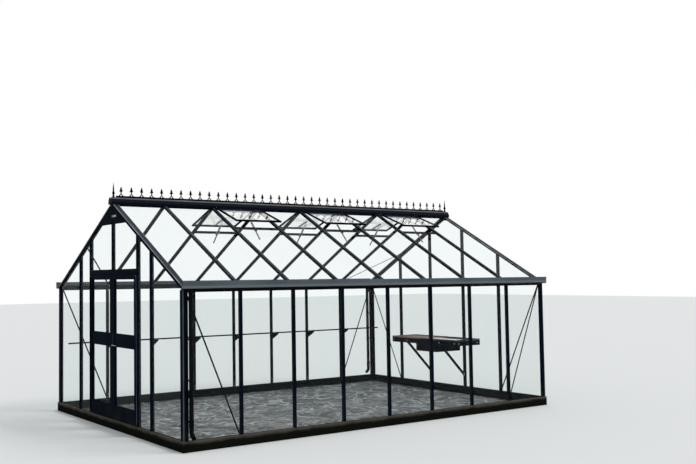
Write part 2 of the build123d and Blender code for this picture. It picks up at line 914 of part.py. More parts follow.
with BuildPart() as right_door_frame:
    mirror(left_door_frame.part, about=Plane.XZ)
right_door_frame.part.label = "right_door_frame"
export_step(right_door_frame.part, "parts/right_door_frame.step")

door_pane_x = door_front + door_pane_in
with BuildPart() as left_door_glass:
    pane_y = (light_low_y, light_high_y)
    pane_x = (door_pane_x, door_pane_x + glass_thick)
    block(*pane_x, *pane_y, bottom_rail_top, door_middle_foot)
    block(*pane_x, *pane_y, door_middle_top, top_rail_foot)
left_door_glass.part.label = "left_door_glass"
export_step(left_door_glass.part, "parts/left_door_glass.step")

with BuildPart() as right_door_glass:
    mirror(left_door_glass.part, about=Plane.XZ)
right_door_glass.part.label = "right_door_glass"
export_step(right_door_glass.part, "parts/right_door_glass.step")

# Bead hinges on the outer face: even knuckles belong to the leaf and odd ones to the jamb
hinge_x = door_front - hinge_stand
hinge_y = jamb_inner - door_gap / 2
hinge_foot = door_foot + hinge_end_margin
knuckle_pitch = (door_top - door_foot - 2 * hinge_end_margin) / hinge_knuckles


def hinge_knuckle(number, toward):
    """One knuckle with its plate, towards the jamb (1) or the leaf (-1)."""
    z_low = hinge_foot + number * knuckle_pitch
    z_high = z_low + knuckle_pitch - hinge_knuckle_gap
    with Locations((hinge_x, hinge_y, z_low)):
        Cylinder(hinge_radius, z_high - z_low, align=(Align.CENTER, Align.CENTER, Align.MIN))
    plate_y = hinge_y + toward * hinge_plate_width
    block(door_front - hinge_plate_thick, door_front, hinge_y, plate_y, z_low, z_high)


with BuildPart() as left_door_hinges:
    for number in range(0, hinge_knuckles, 2):
        hinge_knuckle(number, -1)
left_door_hinges.part.label = "left_door_hinges"
export_step(left_door_hinges.part, "parts/left_door_hinges.step")

with BuildPart() as right_door_hinges:
    mirror(left_door_hinges.part, about=Plane.XZ)
right_door_hinges.part.label = "right_door_hinges"
export_step(right_door_hinges.part, "parts/right_door_hinges.step")

with BuildPart() as jamb_hinges:
    for number in range(1, hinge_knuckles, 2):
        hinge_knuckle(number, 1)
    mirror(about=Plane.XZ)
jamb_hinges.part.label = "jamb_hinges"
export_step(jamb_hinges.part, "parts/jamb_hinges.step")

# Lever handle on the meeting stile of the right leaf
with BuildPart() as door_handle:
    handle_y = -door_meeting_y - door_meeting_stile / 2
    block(
        door_front - handle_plate_thick,
        door_front,
        handle_y - handle_plate_width / 2,
        handle_y + handle_plate_width / 2,
        handle_height - handle_plate_height / 2,
        handle_height + handle_plate_height / 2,
    )
    neck_end = (door_front - handle_reach, handle_y, handle_height)
    neck_plane = Plane(origin=neck_end, x_dir=(0, 1, 0), z_dir=(1, 0, 0))
    with BuildSketch(neck_plane):
        Circle(handle_neck_radius)
    extrude(amount=handle_reach)
    with BuildSketch(neck_plane):
        with Locations((-handle_lever_length / 2, 0)):
            SlotOverall(handle_lever_length + handle_lever_width, handle_lever_width)
    extrude(amount=handle_lever_thick)
door_handle.part.label = "door_handle"
export_step(door_handle.part, "parts/door_handle.step")


# Flat braces across the end bays, let in between the bars
def strip(start, end, width):
    """Outline of a flat strip from corner to corner of the rectangle between two points."""
    across = end[0] - start[0]
    up = end[1] - start[1]
    length = math.hypot(across, up)
    side_x = math.copysign(width / 2 * length / abs(up), across)
    side_y = math.copysign(width / 2 * length / abs(across), up)
    return [
        start,
        (start[0], start[1] + side_y),
        (end[0] - side_x, end[1]),
        end,
        (end[0], end[1] - side_y),
        (start[0] + side_x, start[1]),
    ]


bay_side = half_length - end_margin - bay + bar_width / 2
brace_out = bar_back - brace_setback
with BuildPart() as braces:
    wall_brace = strip((half_length - bar_back, eave_height), (bay_side, base_height), brace_width)
    prism(facing_right(half_width - brace_out + brace_thick), wall_brace, brace_thick)
    mirror(about=Plane.YZ)
    mirror(about=Plane.XZ)
    gable_brace = strip(
        (half_width - bar_back, eave_height),
        (wide_bar_y + bar_width / 2, base_height),
        brace_width,
    )
    for side in (-1, 1):
        outline = [(side * y, z) for y, z in gable_brace]
        along_x(outline, half_length - brace_out, half_length - brace_out + brace_thick)
    eave_place = eave_inner_y / pitch_cos
    roof_brace = strip(
        (bay_side, eave_place - roof_brace_foot_in),
        (half_length - end_rafter_width, eave_place * roof_brace_top_share),
        brace_width,
    )
    for end in (-1, 1):
        outline = [(end * x, s) for x, s in roof_brace]
        prism(left_slope.offset(-roof_brace_depth - brace_thick), outline, brace_thick)
braces.part.label = "braces"
export_step(braces.part, "parts/braces.step")

# Tube inside the left wall, lying on a three-cornered bracket at each bar
with BuildPart() as wall_rail:
    rail_wall_y = half_width - bar_back - seat_gap
    rail_y = rail_wall_y - rail_stand
    with BuildSketch(Plane.YZ.offset(rail_end - half_length)):
        with Locations((rail_y, rail_height)):
            Circle(rail_radius)
    extrude(amount=2 * (half_length - rail_end))
    bracket_top = rail_height - rail_radius - seat_gap
    bracket_outline = [
        (rail_wall_y, bracket_top),
        (rail_y - rail_radius, bracket_top),
        (rail_y - rail_radius, bracket_top - rail_bracket_nose),
        (rail_wall_y, bracket_top - rail_bracket_height),
    ]
    for number in range(1, bays):
        low = bar_x(number) - rail_bracket_thick / 2
        along_x(bracket_outline, low, low + rail_bracket_thick)
wall_rail.part.label = "wall_rail"
export_step(wall_rail.part, "parts/wall_rail.step")

# Bench: a frame on two sloping struts, with a deep closed box hung under its middle
bench_back = half_length - bar_back - seat_gap
bench_front = bench_back - bench_depth
bench_top_foot = bench_foot + bench_rail_height
with BuildPart() as bench_frame:
    for low in (bench_front, bench_back - bench_rail_thick):
        block(low, low + bench_rail_thick, -bench_half, bench_half, bench_foot, bench_top_foot)
    end_front = bench_front + bench_rail_thick + seat_gap
    end_back = bench_back - bench_rail_thick - seat_gap
    strut_outline = [
        (bench_front + strut_top_start, bench_foot - seat_gap),
        (bench_front + strut_top_start + strut_top_length, bench_foot - seat_gap),
        (bench_back, strut_foot + strut_foot_height),
        (bench_back, strut_foot),
    ]
    for side in (-1, 1):
        end_y = side * bench_half
        end_in = end_y - side * bench_rail_thick
        block(end_front, end_back, end_in, end_y, bench_foot, bench_top_foot)
        prism(facing_right(side * near_bar_y + strut_thick / 2), strut_outline, strut_thick)
    box_limits = (-under_box_right, under_box_left, under_box_foot, bench_foot - seat_gap)
    block(bench_front, bench_back, *box_limits)
bench_frame.part.label = "bench_frame"
export_step(bench_frame.part, "parts/bench_frame.step")

with BuildPart() as bench_top:
    rim_top = bench_top_foot + bench_top_thick + bench_rim_height
    block(bench_front, bench_back, -bench_half, bench_half, bench_top_foot, rim_top)
    with Locations(((bench_front + bench_back) / 2, 0, rim_top)):
        Box(
            bench_depth - 2 * bench_rim_thick,
            2 * (bench_half - bench_rim_thick),
            bench_rim_height,
            align=(Align.CENTER, Align.CENTER, Align.MAX),
            mode=Mode.SUBTRACT,
        )
bench_top.part.label = "bench_top"
export_step(bench_top.part, "parts/bench_top.step")
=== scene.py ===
import math
import bmesh
import bpy
from mathutils import Matrix, Vector, noise


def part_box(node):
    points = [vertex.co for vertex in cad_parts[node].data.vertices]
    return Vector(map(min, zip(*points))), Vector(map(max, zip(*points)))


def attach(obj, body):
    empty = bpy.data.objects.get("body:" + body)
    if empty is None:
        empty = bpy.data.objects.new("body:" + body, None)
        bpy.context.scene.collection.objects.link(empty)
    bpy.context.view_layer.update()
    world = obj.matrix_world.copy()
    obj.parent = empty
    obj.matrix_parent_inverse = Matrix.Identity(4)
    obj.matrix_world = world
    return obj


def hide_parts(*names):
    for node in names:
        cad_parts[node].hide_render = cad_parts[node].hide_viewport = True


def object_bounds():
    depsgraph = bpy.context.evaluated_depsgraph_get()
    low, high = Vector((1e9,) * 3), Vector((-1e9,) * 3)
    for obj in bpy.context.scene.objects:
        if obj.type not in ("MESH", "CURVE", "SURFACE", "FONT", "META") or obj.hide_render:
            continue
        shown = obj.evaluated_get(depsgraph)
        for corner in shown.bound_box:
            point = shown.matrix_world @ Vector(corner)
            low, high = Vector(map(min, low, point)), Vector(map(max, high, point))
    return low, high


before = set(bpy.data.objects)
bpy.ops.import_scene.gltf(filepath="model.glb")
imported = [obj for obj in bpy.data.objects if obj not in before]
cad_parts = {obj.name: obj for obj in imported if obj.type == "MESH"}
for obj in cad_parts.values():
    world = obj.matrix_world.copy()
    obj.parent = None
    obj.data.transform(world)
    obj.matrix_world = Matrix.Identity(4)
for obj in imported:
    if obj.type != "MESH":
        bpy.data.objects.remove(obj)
cad_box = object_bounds()

# Plinth: beams of folded sheet round the foot, coated dark, with dried soil dust and painted sunlight
# on a brown band along the top, painted shade towards the foot and painted shade on the inner faces.
# Each corner is closed by an angle plate, and hexagon bolts hold the beams to it.
plinth_edge = 0.003
outer_end, outer_side = 2.947, 1.905
dust_and_shade_from, dust_and_shade_to = 0.110, 0.152
# Painted light: a brown of dust and painted sunlight for the top, a dark of the coat and painted shade
# for the foot, and a greenish black of painted shade for the inner faces.
plinth_dust_and_sunlight = (0.085, 0.074, 0.062, 1.0)
plinth_dark_and_shaded = (0.006, 0.007, 0.005, 1.0)
plinth_shade = (0.0015, 0.0060, 0.0045, 1.0)
plate_length = 0.11
plate_thick = 0.003
plate_foot = 0.02
plate_drop = 0.015
plate_bolts_along = (0.035, 0.085)
plate_bolts_up = (0.045, 0.09)
bolt_radius, bolt_height = 0.0065, 0.0045
washer_share, washer_height = 1.35, 0.0012


class Wire:
    """One socket in a finish's nodes, on which Python's own signs add Math nodes."""

    def __init__(self, socket):
        self.socket = socket

    def node(self, kind, settings, links, output=0):
        """A new node with its settings made first, then its values or links, by name or number."""
        made = self.socket.id_data.nodes.new(kind)
        for name, value in settings.items():
            setattr(made, name, value)
        for name, value in links.items():
            if isinstance(value, Wire):
                self.socket.id_data.links.new(value.socket, made.inputs[name])
            else:
                made.inputs[name].default_value = value
        return Wire(made.outputs[output])

    def sign(self, operation, first, second):
        return self.node("ShaderNodeMath", {"operation": operation}, {0: first, 1: second})

    def __add__(self, other):
        return self.sign("ADD", self, other)

    def __radd__(self, other):
        return self.sign("ADD", other, self)

    def __sub__(self, other):
        return self.sign("SUBTRACT", self, other)

    def __rsub__(self, other):
        return self.sign("SUBTRACT", other, self)

    def __mul__(self, other):
        return self.sign("MULTIPLY", self, other)

    def __rmul__(self, other):
        return self.sign("MULTIPLY", other, self)

    def __gt__(self, other):
        return self.sign("GREATER_THAN", self, other)


def finish(name, roughness, metallic=0.0, coat=0.0, gloss=0.5, index=1.45):
    """A new material, with its shader's inputs and the wire of its Object coordinates."""
    material = bpy.data.materials.new(name)
    material.use_nodes = True
    tree = material.node_tree
    shader = tree.nodes["Principled BSDF"].inputs
    shader["Roughness"].default_value = roughness
    shader["Metallic"].default_value = metallic
    shader["Coat Weight"].default_value = coat
    shader["Coat Roughness"].default_value = 0.12
    shader["Specular IOR Level"].default_value = gloss
    shader["IOR"].default_value = index
    place = Wire(tree.nodes.new("ShaderNodeTexCoord").outputs["Object"])
    return material, shader, place


def feed(wire, target):
    """Links a wire to one of the shader's inputs."""
    wire.socket.id_data.links.new(wire.socket, target)


def coated(shader, colour, roughness):
    """Feeds a finish its colour and its roughness."""
    feed(colour, shader["Base Color"])
    feed(roughness, shader["Roughness"])


def reach(place, axis):
    """How far a point lies along one axis: 0 for X, 1 for Y and 2 for Z."""
    return place.node("ShaderNodeSeparateXYZ", {}, {"Vector": place}, output=axis)


def cloudy(place, scale, detail=3.0, stretch=(1.0, 1.0, 1.0)):
    """Soft noise from 0 to 1 at a scale in cycles to the metre."""
    stretched = place.node("ShaderNodeMapping", {}, {"Vector": place, "Scale": stretch})
    return place.node("ShaderNodeTexNoise", {}, {"Vector": stretched, "Scale": scale, "Detail": detail})


def between(mask, low, high, first, second):
    """A colour that goes from the first to the second as the mask goes from low to high."""
    share = mask.node(
        "ShaderNodeMapRange", {"clamp": True}, {"Value": mask, "From Min": low, "From Max": high}
    )
    mixed = {"data_type": "RGBA"}
    return mask.node("ShaderNodeMix", mixed, {"Factor": share, 6: first, 7: second}, output=2)


def relief(height, strength, distance, target):
    """Feeds a bump from a height in the pattern to the shader's normal."""
    bump = height.node(
        "ShaderNodeBump", {}, {"Height": height, "Strength": strength, "Distance": distance}
    )
    feed(bump, target)


def made_piece(name, form, material, body="greenhouse", smooth=False):
    """Turns a finished form into a piece at the origin that moves with a body."""
    mesh = bpy.data.meshes.new(name)
    form.to_mesh(mesh)
    form.free()
    mesh.materials.append(material)
    if smooth:
        mesh.shade_smooth()
        mesh.set_sharp_from_angle(angle=math.radians(38))
    made = bpy.data.objects.new(name, mesh)
    bpy.context.scene.collection.objects.link(made)
    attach(made, body)
    return made


def eased(node, edge, material, body="greenhouse"):
    """The form of a node with its sharp edges eased, which then stands for the node."""
    form = bmesh.new()
    form.from_mesh(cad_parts[node].data)
    bmesh.ops.remove_doubles(form, verts=form.verts, dist=0.00005)
    bmesh.ops.dissolve_limit(
        form, angle_limit=math.radians(2), verts=form.verts, edges=form.edges
    )
    corners = [e for e in form.edges if e.is_manifold and e.calc_face_angle() > 0.4]
    bmesh.ops.bevel(
        form,
        geom=corners,
        offset=edge,
        offset_type="OFFSET",
        affect="EDGES",
        segments=2,
        profile=0.5,
        material=-1,
        clamp_overlap=True,
    )
    made = made_piece(node + "_form", form, material, body)
    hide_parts(node)
    return made


def slab(form, low, high):
    """Adds a block between two corners to a form."""
    low, high = Vector(low), Vector(high)
    place = Matrix.Translation((low + high) / 2) @ Matrix.Diagonal((*(high - low), 1.0))
    bmesh.ops.create_cube(form, size=1.0, matrix=place)


def rod(form, start, end, radius, sides=16, end_radius=None):
    """Adds a round bar from one point to another, which may taper."""
    start, end = Vector(start), Vector(end)
    turn = (end - start).to_track_quat("Z", "Y").to_matrix().to_4x4()
    bmesh.ops.create_cone(
        form,
        cap_ends=True,
        segments=sides,
        radius1=radius,
        radius2=radius if end_radius is None else end_radius,
        depth=(end - start).length,
        matrix=Matrix.Translation((start + end) / 2) @ turn,
    )


def bolt(form, foot, outward):
    """Adds a hexagon head with its washer, standing on a surface."""
    foot, outward = Vector(foot), Vector(outward)
    rod(form, foot, foot + outward * washer_height, bolt_radius * washer_share, sides=14)
    rod(form, foot, foot + outward * bolt_height, bolt_radius, sides=6)


plinth_coat_and_shade, shader, place = finish("plinth_coat_and_shade", 0.6, index=1.03)
along, across = reach(place, 0), reach(place, 1)
# Painted shade: faces that are not on the outside of the plinth get the greenish black.
past_end = along.sign("ABSOLUTE", along, 0.0) > outer_end
past_side = across.sign("ABSOLUTE", across, 0.0) > outer_side
outside = past_end + past_side
soil = cloudy(place, 5.0, 6.0) * 0.05 + cloudy(place, 60.0) * 0.02
# Darker towards the foot as painted shade, brown at the top as dust and painted sunlight.
coat = between(reach(place, 2) + soil, dust_and_shade_from, dust_and_shade_to, plinth_dark_and_shaded, plinth_dust_and_sunlight)
coated(shader, between(outside, 0.0, 1.0, plinth_shade, coat), 0.50 + cloudy(place, 30.0) * 0.35)
relief(cloudy(place, 220.0, 5.0), 0.25, 0.001, shader["Normal"])

for node in ("base_left", "base_right", "base_door_end", "base_back_end"):
    eased(node, plinth_edge, plinth_coat_and_shade)

plinth_low, plinth_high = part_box("base_left")
plinth_inner = plinth_low.y
plinth_end = plinth_high.x
plinth_side = plinth_high.y
plinth_top = plinth_high.z
form = bmesh.new()
for end in (-1, 1):
    for side in (-1, 1):
        x_in = end * (plinth_end - (plinth_side - plinth_inner))
        y_in = side * plinth_inner
        high = (x_in, y_in, plinth_top - plate_drop)
        for length, width in ((plate_length, plate_thick), (plate_thick, plate_length)):
            low = (x_in - end * length, y_in - side * width, plate_foot)
            slab(form, map(min, low, high), map(max, low, high))
        for step in plate_bolts_along:
            for rise in plate_bolts_up:
                bolt(form, (x_in - end * step, y_in - side * plate_thick, rise), (0, -side, 0))
                bolt(form, (x_in - end * plate_thick, y_in - side * step, rise), (-end, 0, 0))
made_piece("plinth_corner_plates", form, plinth_coat_and_shade)

# Ground cover: one loose sheet of woven grey plastic tape laid on the soil inside the plinth.
# It was spread by hand, so long creases and small puckers run across it.
tape_width = 0.004
crease_rise = 0.016
pucker_rise = 0.006
cover_thick = 0.0008
cover_lift = 0.0012
edge_calm = 12.0
edge_least = 0.15
cover_low, cover_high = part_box("floor_sheet")
cover_size = (cover_high.x - cover_low.x, cover_high.y - cover_low.y)
form = bmesh.new()
form.loops.layers.uv.new("cut")
bmesh.ops.create_grid(
    form,
    x_segments=230,
    y_segments=150,
    size=0.5,
    matrix=Matrix.Diagonal((*cover_size, 1.0, 1.0)),
    calc_uvs=True,
)
for point in form.verts:
    x, y = point.co.xy
    turned = Vector((x * 0.8 + y * 0.6, y * 0.8 - x * 0.6, 0.0))
    crease = 1 - abs(noise.noise(Vector((turned.x * 0.9, turned.y * 2.6, 3.0))) * 2.4)
    pucker = noise.fractal(Vector((x * 4.5, y * 4.5, 9.0)), 1.0, 2.0, 4)
    inward = min(cover_size[0] / 2 - abs(x), cover_size[1] / 2 - abs(y))
    rise = max(crease, 0.0) ** 4 * crease_rise + max(pucker, 0.0) * pucker_rise
    point.co.z = cover_lift + rise * max(min(1.0, inward * edge_calm), edge_least)
cover_finish, shader, place = finish("woven_ground_cover", 0.5, gloss=0.3)
cut = Wire(cover_finish.node_tree.nodes.new("ShaderNodeTexCoord").outputs["UV"])
warp_count = cover_size[0] / tape_width
weft_count = cover_size[1] / tape_width
warp = cut.node("ShaderNodeMapping", {}, {"Vector": cut, "Scale": (warp_count, 0.0, 0.0)})
weft = cut.node("ShaderNodeMapping", {}, {"Vector": cut, "Scale": (0.0, weft_count, 0.0)})
wave = {"wave_type": "BANDS", "bands_direction": "DIAGONAL", "wave_profile": "TRI"}
warp = cut.node("ShaderNodeTexWave", wave, {"Vector": warp, "Scale": 0.5, "Distortion": 0.0}, 1)
weft = cut.node("ShaderNodeTexWave", wave, {"Vector": weft, "Scale": 0.5, "Distortion": 0.0}, 1)
folds, crumples, turns = [
    place.node(
        "ShaderNodeTexNoise",
        {},
        {"Vector": place, "Scale": scale, "Detail": detail, "Distortion": bend},
    )
    for scale, detail, bend in ((2.8, 4.0, 1.4), (9.0, 4.0, 1.2), (2.4, 3.0, 1.0))
]
# Painted highlight: pale lines along the crests of one noise stand for glints on the crumpled sheet.
crests = 1.0 - (turns - 0.5).sign("ABSOLUTE", turns - 0.5, 0.0) * 22.0
crests = crests.sign("MAXIMUM", crests, 0.0) * crumples
# Painted light and shade of the crumples, darker towards the far side.
crumple_light_and_shade = folds * 0.62 + crumples * 0.38 - reach(place, 1) * 0.014
shade = between(crumple_light_and_shade, 0.46, 0.58, (0.020, 0.031, 0.033, 1), (0.160, 0.160, 0.155, 1))
coated(shader, between(crests, 0.15, 0.50, shade, (0.42, 0.44, 0.46, 1)), 0.62 - crumples * 0.3)
relief(warp * weft + crests * 6.0 + crumples * 8.0, 0.6, 0.002, shader["Normal"])
cover = made_piece("ground_cover", form, cover_finish, smooth=True)
thickness = cover.modifiers.new("tape", "SOLIDIFY")
thickness.thickness = cover_thick
thickness.offset = 1.0
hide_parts("floor_sheet")

# Uprights: pressed aluminium bars behind the glass, and box posts in the corners with an angle
# cover and a satin bead down the arris, whose pale colour is a painted highlight. All are powder
# coated a blue that is almost black, and bolted to the plinth.
bar_edge = 0.0015
bar_width = 0.030
bar_count = 7
bar_bolts_up = (0.022, 0.062)
bar_bolt_down = 0.03
cover_depth = 0.0088
cover_from = 0.0478
cover_to_gable, cover_to_wall = 0.072, 0.062
cover_top = 1.762
bead_radius = 0.0065
bead_inset = 0.003
paint_dark = (0.0014, 0.0036, 0.0082, 1.0)
paint_pale = (0.0032, 0.0068, 0.0140, 1.0)
paint_dust = (0.012, 0.012, 0.010, 1.0)


def mottled(place, scale, detail, first, second, low=0.3, high=0.7):
    """A colour that drifts between two in soft patches."""
    return between(cloudy(place, scale, detail), low, high, first, second)


def powder_grain(place, shader):
    """Gives a finish the fine pebbled skin of a powder coat."""
    relief(cloudy(place, 900.0, 2.0), 0.12, 0.0004, shader["Normal"])


dark_paint, shader, place = finish("dark_powder_coat", 0.4, index=1.03)
splash = cloudy(place, 9.0, 6.0) - reach(place, 2) * 0.55
paint = mottled(place, 3.0, 6.0, paint_dark, paint_pale)
coated(shader, between(splash, 0.36, 0.62, paint, paint_dust), 0.26 + cloudy(place, 24.0, 5.0) * 0.22)
powder_grain(place, shader)
uprights = (
    "corner_posts",
    "left_wall_bars",
    "right_wall_bars",
    "door_gable_bars",
    "back_gable_bars",
)
for node in uprights:
    eased(node, bar_edge, dark_paint)
# Painted highlight: the pale bead colour stands for the glint along each corner's arris and the hinge
# line of the right jamb.
bead_painted_highlight, shader, place = finish("bead_painted_highlight_coat", 0.4, gloss=0.03)
coated(
    shader,
    mottled(place, 9.0, 5.0, (0.050, 0.066, 0.085, 1), (0.090, 0.110, 0.135, 1)),
    0.32 + cloudy(place, 24.0, 5.0) * 0.2,
)
half_width = 1.920
cover_end = cad_box[1].x - 0.028
covers = bmesh.new()
beads = bmesh.new()
for end in (-1, 1):
    for side in (-1, 1):
        spans = (
            (cover_end - cover_depth, half_width - cover_to_gable, cover_end, half_width - cover_from),
            (cover_end - cover_to_wall, half_width - cover_depth, cover_end - cover_from, half_width),
        )
        for x_in, y_in, x_out, y_out in spans:
            x_pair = sorted((end * x_in, end * x_out))
            y_pair = sorted((side * y_in, side * y_out))
            slab(covers, (x_pair[0], y_pair[0], plinth_top), (x_pair[1], y_pair[1], cover_top))
        x, y = end * (cover_end - bead_inset), side * (half_width - bead_inset)
        rod(beads, (x, y, plinth_top), (x, y, cover_top), bead_radius, sides=12)
made_piece("corner_covers", covers, dark_paint)
made_piece("corner_beads_painted_highlight", beads, bead_painted_highlight)

bare_metal, shader, place = finish("bare_aluminium", 0.38, metallic=1.0)
streaks = cloudy(place, 18.0, 4.0, stretch=(0.4, 0.4, 6.0))
coated(
    shader,
    between(streaks, 0.3, 0.7, (0.42, 0.43, 0.44, 1), (0.62, 0.63, 0.64, 1)),
    0.28 + cloudy(place, 90.0) * 0.25,
)
bars_low, bars_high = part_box("left_wall_bars")
bar_pitch = (bars_high.x - bars_low.x - bar_width) / (bar_count - 1)
bar_lines = [bars_low.x + bar_width / 2 + bar_pitch * number for number in range(bar_count)]
bar_face = bars_low.y
form = bmesh.new()
for x in bar_lines:
    for side in (-1, 1):
        for z in (*[bars_low.z + rise for rise in bar_bolts_up], bars_high.z - bar_bolt_down):
            bolt(form, (x, side * bar_face, z), (0, -side, 0))
made_piece("bar_foot_bolts", form, bare_metal)

# Eaves, rafters and ridge beam: the same painted sections, cut to the slope of the roof.
# A shaped plate laps each rafter onto the beam at both ends, with two bolts through it. The
# ridge beam has a shallow web between its two deeper seats on the gables.
gusset_thick = 0.0025
gusset_length = 0.11
gusset_margin = 0.05
gusset_bolt_in = 0.025
gusset_low, gusset_high = -0.034, -0.016
rafter_under = -0.039
roof_rise = 1.078
strip_start = 0.017
seat_length = 0.03
web_rise = 0.030
for node in ("eave_beams", "left_rafters", "right_rafters"):
    eased(node, bar_edge, dark_paint)
beam_low, beam_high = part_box("ridge_beam")
form = bmesh.new()
low = (beam_low.x + seat_length, beam_low.y, beam_low.z + web_rise)
slab(form, low, (beam_high.x - seat_length, beam_high.y, beam_high.z))
for start in (beam_low.x, beam_high.x - seat_length):
    slab(form, (start, beam_low.y, beam_low.z), (start + seat_length, beam_high.y, beam_high.z))
beam = made_piece("ridge_beam_form", form, dark_paint)
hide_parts("ridge_beam")

pitch = math.atan(roof_rise / half_width)
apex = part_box("roof_bar_caps")[1].z + strip_start * math.tan(pitch)
slope_end = half_width / math.cos(pitch)


def on_slope(x, along, rise, side=1):
    """A point of the roof by its distance down from the apex and out from the cap strips."""
    y = along * math.cos(pitch) + rise * math.sin(pitch)
    z = apex - along * math.sin(pitch) + rise * math.cos(pitch)
    return Vector((x, side * y, z))


def slope_slab(form, across, along, rise, side, point=on_slope, tilt=pitch):
    """Adds a block that lies in a slope, from its spans across, down and out of it."""
    spans = (across, along, rise)
    middle = point(*[(low + high) / 2 for low, high in spans], side)
    size = [high - low for low, high in spans]
    turn = Matrix.Rotation(-side * tilt, 4, "X")
    place = Matrix.Translation(middle) @ turn @ Matrix.Diagonal((*size, 1.0))
    bmesh.ops.create_cube(form, size=1.0, matrix=place)


form = bmesh.new()
heads = bmesh.new()
for x in bar_lines:
    for side in (-1, 1):
        for low in (gusset_margin, slope_end - gusset_margin - gusset_length):
            high = low + gusset_length
            for face in (-1, 1):
                edge_x = x + face * bar_width / 2
                plate_x = sorted((edge_x, edge_x + face * gusset_thick))
                slope_slab(form, plate_x, (low, high), (gusset_low, gusset_high), side)
            for along in (low + gusset_bolt_in, high - gusset_bolt_in):
                foot = on_slope(x, along, rafter_under, side)
                outward = on_slope(x, along, rafter_under - 1.0, side) - foot
                bolt(heads, foot, outward.normalized())
made_piece("rafter_gussets", form, dark_paint)
made_piece("rafter_bolts", heads, bare_metal)

# Glass: clear 4 mm panes, one to a bay, with the faint green of a sheet seen against the light.
# They lie against the bars under the cap strips, with a thin film of dust in soft patches. The
# panes of the open vents face the sky and mirror more of it.
glass_tint = (0.975, 0.988, 0.986, 1.0)
film_colour = (0.62, 0.66, 0.66, 1.0)


def pane_finish(name, shine, grazing):
    """A clear pane that mirrors more as it is seen more from the side, with a film of dust."""
    material = bpy.data.materials.new(name)
    material.use_nodes = True
    nodes = material.node_tree.nodes
    nodes.clear()
    place = Wire(nodes.new("ShaderNodeTexCoord").outputs["Object"])
    clear = place.node("ShaderNodeBsdfTransparent", {}, {"Color": glass_tint})
    face = place.node("ShaderNodeBsdfGlossy", {}, {"Roughness": 0.02, "Color": (1, 1, 1, 1)})
    film = place.node("ShaderNodeBsdfPrincipled", {}, {"Base Color": film_colour, "Roughness": 0.6})
    facing = place.node("ShaderNodeLayerWeight", {}, {"Blend": 0.5}, output=1)
    glance = shine + grazing * facing.sign("POWER", facing, 5.0)
    sheet_glass = place.node("ShaderNodeMixShader", {}, {0: glance, 1: clear, 2: face})
    film_mask = cloudy(place, 1.3, 7.0) * 0.005 + cloudy(place, 70.0, 3.0) * 0.002
    filmed = place.node("ShaderNodeMixShader", {}, {0: film_mask, 1: sheet_glass, 2: film})
    feed(filmed, nodes.new("ShaderNodeOutputMaterial").inputs["Surface"])
    return material


glass = pane_finish("horticultural_glass", 0.004, 0.12)
tilted_glass = pane_finish("tilted_vent_glass", 0.02, 1.3)
panes = (
    "left_wall_glass",
    "right_wall_glass",
    "left_roof_glass",
    "right_roof_glass",
    "door_gable_glass",
    "back_gable_glass",
    "vent_glass",
    "left_door_glass",
    "right_door_glass",
)


def dressed(node, material):
    """Gives a node's own mesh a finish."""
    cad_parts[node].data.materials.clear()
    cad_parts[node].data.materials.append(material)


for node in panes:
    dressed(node, tilted_glass if node == "vent_glass" else glass)

# Cap strips: bevelled extrusions pressed over the joints of the glass, in the same dark paint.
# A black rubber lip shows along both edges of each strip. Along the verges lies a wider rubber
# strip, with a narrow pale edge beside it and a pale rod on the outer arris, both painted glints.
cap_edge = 0.0018
cap_half = 0.019
lip_width = 0.003
lip_rise = 0.0022
lip_start = 0.065
glass_down = 0.009
verge_gap, verge_inner, verge_outer = 0.040, 0.066, 0.073
verge_rubber_rise, verge_strip_rise = 0.003, 0.006
verge_rod_rise, verge_rod_radius = -0.002, 0.0035
for node in ("wall_bar_caps", "gable_bar_caps"):
    eased(node, cap_edge, dark_paint)
# Painted sheen: the roof strips are paler than the wall caps, in soft streaks, as a painted sheen of
# the sky on them.
strip_paint_and_sheen, shader, place = finish("roof_strip_painted_sheen", 0.4, gloss=0.03)
streaks = cloudy(place, 7.0, 6.0, stretch=(1.0, 0.5, 0.5))
coated(
    shader,
    between(streaks, 0.3, 0.7, (0.022, 0.029, 0.040, 1), (0.052, 0.064, 0.082, 1)),
    0.3 + cloudy(place, 24.0, 5.0) * 0.2,
)
powder_grain(place, shader)
eased("roof_bar_caps", cap_edge, strip_paint_and_sheen)

rubber, shader, place = finish("black_rubber", 0.75, gloss=0.2)
feed(
    mottled(place, 40.0, 4.0, (0.008, 0.008, 0.008, 1), (0.03, 0.03, 0.028, 1), high=0.8),
    shader["Base Color"],
)
relief(cloudy(place, 400.0), 0.2, 0.0005, shader["Normal"])
glass_face = half_width - glass_down
lip_run = (lip_start, slope_end)
form = bmesh.new()
for x in bar_lines:
    for side in (-1, 1):
        for edge in (-1, 1):
            lip_x = sorted((x + edge * cap_half, x + edge * (cap_half + lip_width)))
            lip_y = sorted((side * glass_face, side * (glass_face + lip_rise)))
            slab(form, (lip_x[0], lip_y[0], bars_low.z), (lip_x[1], lip_y[1], bars_high.z))
            slope_slab(form, lip_x, lip_run, (-glass_down, -glass_down + lip_rise), side)
made_piece("glazing_lips", form, rubber)
